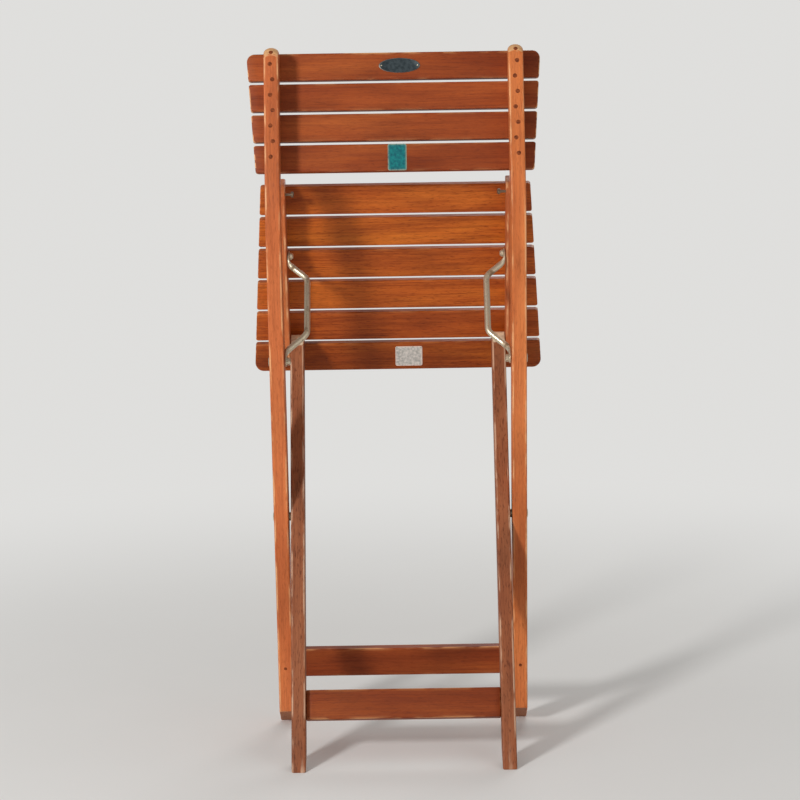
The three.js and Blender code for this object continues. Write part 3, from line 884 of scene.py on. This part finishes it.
@dataclass(frozen=True)
class Slats:
    """A row of slats whose slanted ends run on from the first slat to the last.

    The first slat's outer edge lies at first, and the row runs up or down from there. The first
    slat's outer corners are rounder. Side wear and highlight is that of the first slat and of the
    others: the pale rub on the low and the high arris, and a heavier side is a painted highlight.
    """

    node: str
    first: float
    way: int
    width: float
    gap: float
    halves: Pair
    corner: float
    grain: Pair
    tones: tuple[float, ...]
    end_wear: float
    side_wear_and_highlight: tuple[Pair, ...] = ((1.0, 1.0), (1.0, 1.0))
    thickness: float = 12.0 * MM
    ease: float = 3.0 * MM

    def middle(self, index: int) -> float:
        """Finds the middle of a slat.

        Args:
            index: its number from the first, which is 0.

        Returns:
            Its place along the row.
        """
        return self.first + self.way * (index * (self.width + self.gap) + self.width / 2)

    def build(self, cover: Cover, place: Mapping) -> None:
        """Makes the slats.

        Args:
            cover: their finish, body and slot.
            place: carries length, across and through onto the rails.
        """
        wide, narrow = self.halves
        pitch = self.width + self.gap
        stack = len(self.tones) * pitch - self.gap

        def half(a: Array) -> Array:
            """The half length, which falls evenly along the row."""
            return wide - (wide - narrow) * (self.way * (a - self.first)) / stack

        for index, tone in enumerate(self.tones):
            outer = self.first + self.way * index * pitch
            low, high = sorted((outer, outer + self.way * self.width))
            radii = (self.ease if index else self.corner, self.ease)[::self.way]
            board = Board(low, high, self.thickness, *slanted(half, low, high, *radii), place,
                          end_wear=self.end_wear, side_wear_and_highlight=self.side_wear_and_highlight[min(index, 1)])
            offset = self.grain[0] + index * self.grain[1]
            teak(board, tone, offset, f"{self.node}_{index + 1}", cover)


def label(name: str, halves: Pair, cover: Cover, place: Mapping) -> None:
    """Lays a thin blank film with rounded corners and a rubbed rim on a board.

    Args:
        name: the piece's name.
        halves: half its length and half its height.
        cover: its finish, body and slot.
        place: carries its length, height and depth onto the board's face.
    """
    half_long, half_high = halves
    ends = slanted(lambda a: half_long, -half_high, half_high, LABEL_CORNER, LABEL_CORNER)
    board = Board(-half_high, half_high, LABEL_THICKNESS, *ends,
                  lambda length, a, b: place(length, a, b - LABEL_THICKNESS / 2),
                  arris=LABEL_ARRIS, end_arris=LABEL_ARRIS, steps=LABEL_STEPS)
    points, faces, values = board.build(HALF, 0.0)
    inside = (np.array(halves) - np.abs(values["grain"][:, :2])).min(1)
    values["edge"] = np.exp(-(np.maximum(inside, 0.0) / LABEL_RIM) ** 2)
    dressed(name, points, faces, cover, values=values)


def stretcher(node: str, plane: SidePlane, tone: float, offset: float, cover: Cover) -> None:
    """Makes a plain cross board in its solid's place.

    Args:
        node: the solid that it stands for.
        plane: the side view's axes.
        tone: how pale it is.
        offset: shifts its grain.
        cover: its finish, body and slot.
    """
    low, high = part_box(node)
    half = (high[0] - low[0]) / 2
    ahead, up = plane.spot(node)
    board = Board(up - STRETCHER_HEIGHT / 2, up + STRETCHER_HEIGHT / 2, STRETCHER_THICKNESS,
                  lambda a, b: -half, lambda a, b: half,
                  lambda length, a, b: plane.world(length, ahead + b, a), steps=STRETCHER_STEPS)
    teak(board, tone, offset, node, cover)


@dataclass(frozen=True)
class Dome:
    """A low dome on a rail's back face: a quarter ellipse, lifted and tilted where the rail is round."""

    radius: float
    rise: float = 0.3 * MM
    sunk: float = 1.0 * MM
    lift: float = 0.0
    tilt: float = 0.0
    rings: int = 6
    steps: int = 18

    def build(self, node: str, plane: SidePlane, face: float) -> tuple[Array, list]:
        """Makes the dome where a round solid ends.

        Args:
            node: the solid.
            plane: the side view's axes.
            face: how far ahead the rail's back face lies.

        Returns:
            Points and faces.
        """
        turn = np.linspace(0.0, 1.0, self.rings) * math.pi / 2
        profile = np.stack((self.radius * np.sin(turn), self.rise * np.cos(turn)), -1)
        base = [(self.radius, -self.sunk), (0.0, -self.sunk)]
        points, faces = lathe(np.concatenate((profile, base)), self.steps)
        out = points[:, 2] * math.cos(self.tilt) - points[:, 1] * math.sin(self.tilt)
        raised = points[:, 1] * math.cos(self.tilt) + points[:, 2] * math.sin(self.tilt)
        x, up = node_middle(node)[0], plane.spot(node)[1]
        return plane.world(x + points[:, 0], self.lift + face - out, up + raised), faces


@dataclass
class LongFrame:
    """The bent rails with the back slats, the front stretcher and their small parts."""

    depth: float = 40.0 * MM
    thickness: float = 20.5 * MM
    to_toe: float = 317.0 * MM
    to_bend: float = 380.0 * MM
    bend_radius: float = 235.2 * MM
    bend: float = math.radians(24.0)
    straight: float = 183.0 * MM
    crown: float = 8.0 * MM
    back_round: float = 18.0 * MM
    foot_wear: float = 0.5
    steps: Steps = (110, 14, 10)
    tones: Pair = (0.5, 0.62)
    grain: float = 1.7
    stretcher_tone: float = 0.3
    stretcher_grain: float = 9.3
    plugs: int = 7
    filler: Dome = Dome(3.0 * MM)
    pin: Dome = Dome(2.3 * MM)
    screw: Dome = Dome(2.9 * MM, lift=1.8 * MM, tilt=math.radians(28.7))
    plate_half_high: float = 10.3 * MM
    plate_thickness: float = 1.15 * MM
    plate_sunk: float = 0.2 * MM
    plate_shares: tuple[float, ...] = (0.0, 0.5, 0.92, 0.94, 0.97, 1.0, 1.0, 0.0)
    plate_height_shares: tuple[float, ...] = (0.7, 0.7, 0.68, 0.88, 0.9, 0.6, 0.0, 0.0)
    plate_steps: int = 72
    rim_share: float = 0.93
    pin_inset: float = 3.4 * MM
    pin_radius: float = 1.1 * MM
    pin_height_share: float = 0.5
    pin_lift: float = 0.95 * MM
    pin_rings: int = 5
    pin_steps: int = 12
    label_halves: Pair = (12.9 * MM, 18.6 * MM)
    label_aside: float = 3.2 * MM
    body: str = "long_frame"
    # The back slats' upper arris is rubbed paler than the lower one: wear, with a painted highlight where
    # light catches the upper edges.
    slats: Slats = Slats("back_slat", first=181.0 * MM, way=-1, width=38.0 * MM, gap=4.7 * MM,
                         halves=(202.0 * MM, 190.5 * MM), corner=12.0 * MM, grain=(3.1, 1.0),
                         tones=(0.4, 0.52, 0.44, 0.36), end_wear=4.0, side_wear_and_highlight=((0.45, 3.0), (0.45, 1.2)))

    def __post_init__(self) -> None:
        """Works out where the upper straight, the top and the back of the slats lie."""
        self.upper = self.to_bend + self.bend_radius * self.bend
        self.top = self.upper + self.straight
        self.front = self.depth / 2 + LIFT

    def bent(self, x: Array, ahead: Array, length: Array) -> Array:
        """Carries a length along the rail's centre line, straight, then round the bend, then straight.

        Args:
            x: to the right.
            ahead: towards the front of the rail.
            length: along the centre line from the crossing.

        Returns:
            Points in the frame's axes.
        """
        beyond = length - self.to_bend
        turned = np.clip(beyond / self.bend_radius, 0.0, self.bend)
        rest = np.maximum(beyond - self.bend_radius * self.bend, 0.0)
        low = np.minimum(beyond, 0.0)
        line_ahead = self.bend_radius * (1 - np.cos(turned)) + rest * np.sin(turned)
        line_up = self.to_bend + low + self.bend_radius * np.sin(turned) + rest * np.cos(turned)
        return LONG_PLANE.world(x, line_ahead + ahead * np.cos(turned), line_up - ahead * np.sin(turned))

    def build(self) -> None:
        """Makes the rails, the slats, the stretcher, the small parts and the lowest slat's film."""
        self.rails()
        cover = Cover(SLAT_TEAK, self.body, "slat_teak")
        middle = self.front + self.slats.thickness / 2
        self.slats.build(cover, lambda length, a, b: self.bent(length, middle + b, self.upper + a))
        stretcher("front_stretcher", LONG_PLANE, self.stretcher_tone, self.stretcher_grain, cover)
        self.fillers()
        self.plate()
        up = self.upper + self.slats.middle(len(self.slats.tones) - 1)
        label("teal_label", self.label_halves, Cover(TEAL_FILM, self.body, "dark_plate"),
              lambda length, a, b: self.bent(self.label_aside + length, self.front + b, up + a))

    def rails(self) -> None:
        """Makes both rails."""
        slant = math.tan(cut_lean()[0])

        def foot(a: Array, b: Array) -> Array:
            """A straight slant that leaves the front corner longest."""
            return -self.to_toe + (self.depth / 2 - a) * slant

        def head(a: Array, b: Array) -> Array:
            """An elliptic crown across, and a quarter circle down to the back."""
            half = self.thickness / 2
            crown = quarter(half - np.abs(b), half, self.crown, CROWN_FULLNESS)
            drop = quarter(a + self.depth / 2, self.back_round, self.back_round, CROWN_FULLNESS)
            return self.top - crown - drop

        pair("long_rail", lambda x: Board(-self.depth / 2, self.depth / 2, self.thickness, foot, head,
                                          lambda length, a, b: self.bent(x + b, a, length),
                                          end_arris=SOLE_ARRIS, foot_wear=self.foot_wear, steps=self.steps),
             self.tones, self.grain, Cover(RAIL_TEAK, self.body, "rail_teak"))

    def fillers(self) -> None:
        """Makes the round fillers over the screws and the tenon pins, and a flush dark disc over each top
        screw: painted shade of its hole.
        """
        foot, tip = (self.bent(0.0, 0.0, length)[1:] for length in (self.upper, self.top))
        upper = SidePlane.between(foot, tip)
        for side in Side:
            plugs = tuple(f"rail_plug_{side.word}_{number + 1}" for number in range(self.plugs))
            for name, nodes, dome, plane, slot in (
                    ("screw_fillers", plugs, self.filler, upper, "plug_wood"),
                    ("pin_end", (f"tenon_pin_{side.word}",), self.pin, LONG_PLANE, "plug_wood"),
                    # A flush dark disc of filler colour stands for the hole over the top screw: painted shade
                    # of the hole.
                    ("screw_hole_painted_shade", (f"top_screw_{side.word}",), self.screw, upper, "dull_steel")):
                points, faces = merged([dome.build(node, plane, -self.depth / 2) for node in nodes])
                cover = Cover(PLUG_WOOD, self.body, slot)
                dressed(f"{name}_{side.word}", points, faces, cover, nodes, ROUND_SMOOTH)

    def on_plate(self, x: Array, up: Array, out: Array) -> Array:
        """Places points about the middle of the plate.

        Args:
            x: to the right.
            up: along the rail.
            out: away from the slat towards the back.

        Returns:
            Points in the frame's axes.
        """
        centre = node_middle("maker_plate")[0]
        return self.bent(centre + x, self.front - out, self.upper + self.slats.middle(0) + up)

    def plate(self) -> None:
        """Makes the blank oval plate with a raised rim and a pin at each end."""
        low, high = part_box("maker_plate")
        half_long = (high[0] - low[0]) / 2
        profile = np.array((self.plate_shares, self.plate_height_shares)).T * (1.0, self.plate_thickness)
        points, faces = lathe(profile, self.plate_steps)
        placed = self.on_plate(points[:, 0] * half_long, points[:, 1] * self.plate_half_high,
                               self.plate_sunk + points[:, 2])
        cover = Cover(DARK_PLATE, self.body, "dark_plate")
        piece = dressed("oval_plate", placed, faces, cover, ("maker_plate",))
        piece.data.materials.append(material_of(PLATE_RIM))
        place = np.array([vertex.co for vertex in piece.data.vertices])[:, ::2]
        least, most = place.min(0), place.max(0)
        spread = np.hypot(*((2 * place - least - most) / (most - least)).T)
        onto_rim = [int(min(spread[list(polygon.vertices)]) > self.rim_share)
                    for polygon in piece.data.polygons]
        piece.data.polygons.foreach_set("material_index", onto_rim)
        turn = np.linspace(0.0, QUARTER_TURN, self.pin_rings)
        bead = self.pin_radius * np.stack((np.sin(turn), self.pin_height_share * np.cos(turn)), -1)
        points, faces = lathe(bead, self.pin_steps)
        faces.append(list(range(len(points) - self.pin_steps, len(points))))
        pins = [(self.on_plate(side.value * (half_long - self.pin_inset) + points[:, 0], points[:, 1],
                               self.pin_lift + points[:, 2]), faces) for side in Side]
        dressed("plate_pins", *merged(pins), Cover(DULL_STEEL, self.body, "dull_steel"))


@dataclass
class RearLegs:
    """The pair of short legs with their stretcher."""

    depth: float = 36.0 * MM
    thickness: float = 19.5 * MM
    to_heel: float = 364.6 * MM
    to_bolt: float = 243.0 * MM
    shoulder: float = 3.0 * MM
    top_rise: float = 24.0 * MM
    top_inset: float = 14.0 * MM
    top_ease: float = 5.0 * MM
    foot_wear: float = 0.9
    steps: Steps = (80, 12, 6)
    tones: Pair = (0.38, 0.48)
    grain: float = 13.0
    stretcher_tone: float = 0.22
    stretcher_grain: float = 17.7
    body: str = "leg_frame"

    def build(self) -> None:
        """Makes both legs and the rear stretcher."""
        slant = math.tan(cut_lean()[1])

        def foot(a: Array, b: Array) -> Array:
            """A straight slant that leaves the back corner longest."""
            return -self.to_heel + (a + self.depth / 2) * slant

        def head(a: Array, b: Array) -> Array:
            """A steep slope up from the back, a level top and an eased front corner."""
            behind = np.clip((a + self.depth / 2) / self.top_inset, 0.0, 1.0)
            before = np.clip((self.depth / 2 - a) / self.top_ease, 0.0, 1.0)
            slope = self.shoulder + (self.top_rise - self.shoulder) * behind
            return self.to_bolt + slope - self.top_ease * (1 - before)

        pair("rear_leg", lambda x: Board(-self.depth / 2, self.depth / 2, self.thickness, foot, head,
                                         lambda length, a, b: LEG_PLANE.world(x + b, a, length),
                                         end_arris=SOLE_ARRIS, foot_wear=self.foot_wear, steps=self.steps),
             self.tones, self.grain, Cover(LEG_TEAK, self.body, "leg_teak"))
        stretcher("rear_stretcher", LEG_PLANE, self.stretcher_tone, self.stretcher_grain,
                  Cover(SLAT_TEAK, self.body, "leg_teak"))


@dataclass
class Seat:
    """The seat's two rails and its slats."""

    under: float = 10.0 * MM
    over: float = 29.7 * MM
    front_reach: float = 16.0 * MM
    rear_reach: float = 253.0 * MM
    rail_thickness: float = 20.0 * MM
    steps: Steps = (40, 14, 4)
    tones: Pair = (0.4, 0.4)
    grain: float = 21.0
    # The seat rails keep only 0.12 of the pale end-grain colour, so that their exposed ends show dark:
    # painted shade.
    end_share: float = 0.12
    label_halves: Pair = (19.3 * MM, 15.4 * MM)
    label_aside: float = 15.6 * MM
    body: str = "seat"
    # The first seat slat's tone of 0.2 is set low as painted shade on that slat.
    slats: Slats = Slats("seat_slat", first=-45.0 * MM, way=1, width=42.5 * MM, gap=6.0 * MM,
                         halves=(206.5 * MM, 188.8 * MM), corner=14.0 * MM, grain=(31.0, 1.3),
                         tones=(0.2, 0.46, 0.54, 0.58, 0.72, 0.52), end_wear=3.0)

    def build(self) -> None:
        """Makes the rails, the slats and the film under the front slat."""
        def foot(a: Array, b: Array) -> Array:
            """Rounded at the lower corner."""
            return -self.front_reach + quarter(a + self.under, self.under, self.under)

        def head(a: Array, b: Array) -> Array:
            """Rounded over twice the height at the lower corner."""
            return self.rear_reach - quarter(a + self.under, 2 * self.under, 2 * self.under)

        pair("seat_rail", lambda x: Board(-self.under, self.over, self.rail_thickness, foot, head,
                                          lambda length, a, b: SEAT_PLANE.world(x + b, a, length),
                                          steps=self.steps),
             self.tones, self.grain, Cover(RAIL_TEAK, self.body, "rail_teak"), self.end_share)
        across, under = self.slats.middle(0), self.over + LIFT
        middle = under + self.slats.thickness / 2
        self.slats.build(Cover(SEAT_TEAK, self.body, "slat_teak"),
                         lambda length, a, b: SEAT_PLANE.world(length, middle + b, a))
        label("silver_label", self.label_halves, Cover(SILVER_FILM, self.body, "dull_steel"),
              lambda length, a, b: SEAT_PLANE.world(self.label_aside + length, under + b, across + a))


@dataclass
class LinkBars:
    """The bent bars between the rails and the seat, flattened into an eye at each end."""

    bar_radius: float = 4.3 * MM
    eye_half: float = 7.2 * MM
    tab_half: float = 1.5 * MM
    tab_gap: float = 0.3 * MM
    run_x: float = 125.0 * MM
    low_bend: Pair = (15.0 * MM, 42.0 * MM)
    high_bend: Pair = (36.0 * MM, 13.0 * MM)
    blend: float = 12.0 * MM
    eye_rings: int = 8
    eye_start: float = 0.02
    run_inset: float = 1.0 * MM
    run_rings: int = 150
    fine_margin: float = 40.0 * MM
    fine_points: int = 1400
    window_points: int = 101
    smallest_square: float = 1e-9
    steps: int = 24
    tab_power: float = 0.55
    body: str = "link_bars"

    def line(self, length: float) -> tuple[Array, Array]:
        """Works out the centre line: straight runs whose corners a rounded window smooths.

        Args:
            length: the distance between the eyes.

        Returns:
            How far up and how far across each ring lies.
        """
        low_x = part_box("link_right")[1][0] - self.tab_half
        high_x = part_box("link_end_bolt_right")[1][0] - self.tab_gap - self.tab_half
        knots_up = np.array((-self.eye_half, *self.low_bend, length - self.high_bend[0],
                             length - self.high_bend[1], length + self.eye_half))
        knots_x = np.array((low_x, low_x, self.run_x, self.run_x, high_x, high_x))
        eye = self.eye_half * (1 - np.cos(np.linspace(self.eye_start, QUARTER_TURN, self.eye_rings)))
        run = np.linspace(self.run_inset, length - self.run_inset, self.run_rings)
        up = np.concatenate((eye - self.eye_half, run, length + self.eye_half - eye[::-1]))
        fine = np.linspace(-self.fine_margin, length + self.fine_margin, self.fine_points)
        window = np.hanning(self.window_points)
        padded = np.pad(np.interp(fine, knots_up, knots_x), self.window_points // 2, mode="edge")
        return up, np.interp(up, fine, np.convolve(padded, window / window.sum(), mode="valid"))

    def build(self) -> None:
        """Makes both bars: an ellipse carried along a line that steps inwards and back."""
        length = float(np.linalg.norm(LINK_TIP - HINGES["link_turn"]))
        up, centre = self.line(length)
        slope = np.gradient(centre, up)
        near = np.minimum(up, length - up)
        blend = np.clip((near - self.eye_half) / self.blend, 0.0, 1.0)
        round_share = blend ** 2 * (3 - 2 * blend)
        circle = np.sqrt(np.clip(self.eye_half ** 2 - np.minimum(near, 0.0) ** 2, self.smallest_square, None))
        half_wide = circle * (1 - round_share) + self.bar_radius * round_share
        half_thick = self.tab_half * (1 - round_share) + self.bar_radius * round_share
        turn = np.linspace(0.0, 2 * math.pi, self.steps, endpoint=False)
        power = self.tab_power + (1 - self.tab_power) * round_share[:, None]
        cosine, sine = np.cos(turn), np.sin(turn)
        across = half_thick[:, None] * np.sign(cosine) * np.abs(cosine) ** power
        ahead = half_wide[:, None] * np.sign(sine) * np.abs(sine) ** power
        lean = 1 / np.sqrt(1 + slope ** 2)
        level = up[:, None] - across * (slope * lean)[:, None]
        faces = ring_quads(len(up), self.steps)
        last = (len(up) - 1) * self.steps
        pole = len(up) * self.steps
        for j in range(self.steps):
            after = (j + 1) % self.steps
            faces += [[pole, after, j], [pole + 1, last + j, last + after]]
        for side in Side:
            rings = LINK_PLANE.world(side.value * (centre[:, None] + across * lean[:, None]), ahead, level)
            poles = LINK_PLANE.world(side.value * centre[[0, -1]], np.zeros(2), up[[0, -1]])
            dressed(f"bent_link_{side.word}", np.concatenate((rings.reshape(-1, 3), poles)), faces,
                    Cover(DULL_STEEL, self.body, "dull_steel"), (f"link_{side.word}",), ROUND_SMOOTH)


@dataclass(frozen=True)
class Bolt:
    """A kind of bolt: a shank, a domed head with a socket, and a nut or rivet at the far end.

    The head's profile is in shares of its radius and of its height below the crown, the
    socket's in shares of the hole's radius and of the same height.
    """

    node: str
    body: str
    head: float
    shank: float
    rivet: float = 0.0
    nut: float = 0.0
    inward: bool = False
    finish: MetalFinish = DULL_STEEL
    socket_share: float = 0.36
    dome: tuple[Pair, ...] = ((0.97, 1.0), (1.0, 0.82), (0.94, 0.55), (0.72, 0.2), (0.5, 0.0))
    socket: tuple[Pair, ...] = ((1.0, 0.03), (0.92, 0.6), (0.0, 0.72))
    rivet_end: tuple[Pair, ...] = ((0.4, 0.05 * MM), (0.75, 0.4 * MM), (1.0, 1.2 * MM))

    def build(self, side: Side) -> None:
        """Makes the bolt of one side from its solid's box.

        Args:
            side: the side of the chair.
        """
        node = f"{self.node}_{side.word}"
        low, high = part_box(node)
        reach = high[0] - low[0]
        radius = (high[2] - low[2]) / 2
        rows = [(0.0, 0.0)]
        if self.rivet:
            rows += [(self.rivet * share, height) for share, height in self.rivet_end]
            rows += [(self.rivet, self.nut)]
        rows += [(self.shank, self.nut), (self.shank, reach - self.head)]
        rows += [(radius * share, reach - drop * self.head) for share, drop in self.dome]
        hole = radius * self.socket_share
        rows += [(hole * share, reach - drop * self.head) for share, drop in self.socket]
        points, faces = lathe(np.array(rows))
        facing = -side.value if self.inward else side.value
        start = low[0] if facing > 0 else high[0]
        _, y, z = node_middle(node)
        placed = np.stack((start + facing * points[:, 2], y + points[:, 0], z + points[:, 1]), -1)
        cover = Cover(self.finish, self.body, "dull_steel")
        dressed(f"steel_{node}", placed, faces, cover, (node,), BOLT_SMOOTH)


@dataclass
class Fasteners:
    """The bolts, rivets and washers, turned about the lateral axis."""

    bolts: tuple[Bolt, ...] = (
        Bolt("leg_bolt", "long_frame", head=1.5 * MM, shank=3.0 * MM),
        Bolt("link_bolt", "long_frame", head=1.5 * MM, shank=3.0 * MM, rivet=5.5 * MM, nut=5.0 * MM),
        Bolt("seat_bolt", "leg_frame", head=2.0 * MM, shank=3.0 * MM),
        Bolt("stop_bolt", "seat", head=2.0 * MM, shank=1.8 * MM, rivet=4.0 * MM, nut=4.5 * MM,
             finish=DARK_STEEL),
        Bolt("link_end_bolt", "link_bars", head=5.0 * MM, shank=3.0 * MM, inward=True))

    def build(self) -> None:
        """Makes the bolts and finishes the washers."""
        for side in Side:
            for bolt in self.bolts:
                bolt.build(side)
            materials = frame["nodes"][f"leg_washer_{side.word}"].data.materials
            materials.clear()
            materials.append(material_of(DULL_STEEL))


@dataclass(frozen=True)
class Lamp:
    """A round soft lamp."""

    name: str
    place: Triple
    size: float
    power: float


@dataclass
class Studio:
    """The floor, the soft lamps, the pale surround and the camera."""

    lens_pixels: float = 2750.0
    image_pixels: float = 800.0
    sensor: float = 36.0
    pitch: float = math.radians(10.7)
    roll: float = math.radians(-0.9)
    distance: float = 3.85
    below_axis: float = 160.5 * MM
    aside: float = 1.8 * MM
    floor_half: float = 6.0
    floor_shade: Triple = (0.8, 0.79, 0.77)
    floor_lightening: float = 1.03
    floor_roughness: float = 0.75
    surround: Triple = (0.74, 0.735, 0.72)
    surround_light: float = 0.52
    fade: Pair = (0.35, 1.7)
    aim: Triple = (0.0, 0.0, 0.5)
    lamps: tuple[Lamp, ...] = (Lamp("key_lamp", (-2.1, -2.8, 1.9), 0.6, 84.0),
                               Lamp("fill_lamp", (2.2, -2.6, 1.3), 1.8, 8.0),
                               Lamp("front_lamp", (0.8, 2.6, 2.2), 1.6, 18.0))

    def build(self) -> None:
        """Sets the stage."""
        self.floor()
        for lamp in self.lamps:
            data = bpy.data.lights.new(lamp.name, "AREA")
            data.shape = "DISK"
            data.size = lamp.size
            data.energy = lamp.power
            holder = bpy.data.objects.new(lamp.name, data)
            holder.location = lamp.place
            away = Vector(self.aim) - Vector(lamp.place)
            holder.rotation_euler = away.to_track_quat("-Z", "Y").to_euler()
            bpy.context.scene.collection.objects.link(holder)
        self.world()
        self.camera()

    def floor(self) -> None:
        """Lays a pale floor that passes into the surround's colour where the camera sees it far off."""
        half = self.floor_half
        mesh = bpy.data.meshes.new("floor")
        mesh.from_pydata([(-half, -half, 0.0), (half, -half, 0.0), (half, half, 0.0), (-half, half, 0.0)],
                         [], [(0, 1, 2, 3)])
        tree = Tree(bpy.data.materials.new("floor_matt"))
        place = tree.node("TexCoord", "Object", {})
        pale = tuple(self.floor_lightening * part for part in self.floor_shade)
        tree.plug("Base Color", tree.ramp(tree.noise(place, CLOUDS), GLOSS_STOPS, self.floor_shade, pale))
        tree.plug("Roughness", self.floor_roughness)
        away = tree.node("VectorMath", "Value", {0: place}, operation="LENGTH")
        seen = tree.node("LightPath", "Is Camera Ray", {})
        share = tree.math("MULTIPLY", tree.step(away, *self.fade), seen)
        glow = tree.node("Emission", "Emission", {"Color": self.surround})
        matt = tree.nodes["Principled BSDF"].outputs["BSDF"]
        both = tree.node("MixShader", "Shader", {0: share, 1: matt, 2: glow})
        tree.link(both, tree.nodes["Material Output"].inputs["Surface"])
        mesh.materials.append(tree.owner)
        floor = bpy.data.objects.new("floor", mesh)
        bpy.context.scene.collection.objects.link(floor)

    def world(self) -> None:
        """Sets a soft even light, and a pale surround where the camera sees it."""
        tree = Tree(bpy.data.worlds.new("surround"))
        tree.nodes.clear()
        light, pale = (tree.node("Background", "Background", {"Color": self.surround, "Strength": strength})
                       for strength in (self.surround_light, 1.0))
        seen = tree.node("LightPath", "Is Camera Ray", {})
        out = tree.nodes.new("ShaderNodeOutputWorld")
        tree.link(tree.node("MixShader", "Shader", {0: seen, 1: light, 2: pale}), out.inputs["Surface"])
        bpy.context.scene.world = tree.owner
        bpy.context.scene.view_settings.view_transform = "Standard"

    def camera(self) -> None:
        """Aims the camera from behind the chair, a little above it."""
        data = bpy.data.cameras.new("view")
        data.sensor_width = self.sensor
        data.lens = self.lens_pixels / self.image_pixels * self.sensor
        ahead = np.array((math.cos(self.pitch), -math.sin(self.pitch)))
        upward = np.array((math.sin(self.pitch), math.cos(self.pitch)))
        spot = HINGES["leg_fold"] - ahead * self.distance + upward * self.below_axis
        camera = bpy.data.objects.new("view", data)
        turn = Matrix.Rotation(QUARTER_TURN - self.pitch, 4, "X") @ Matrix.Rotation(self.roll, 4, "Z")
        camera.matrix_world = Matrix.Translation((self.aside, *spot)) @ turn
        bpy.context.scene.collection.objects.link(camera)
        bpy.context.scene.camera = camera


def main() -> None:
    """Builds the sub-assemblies in order."""
    logging.basicConfig(level=logging.INFO, format="%(message)s")
    for part in (LongFrame(), RearLegs(), Seat(), LinkBars(), Fasteners(), Studio()):
        part.build()


if __name__ == "__main__":
    main()
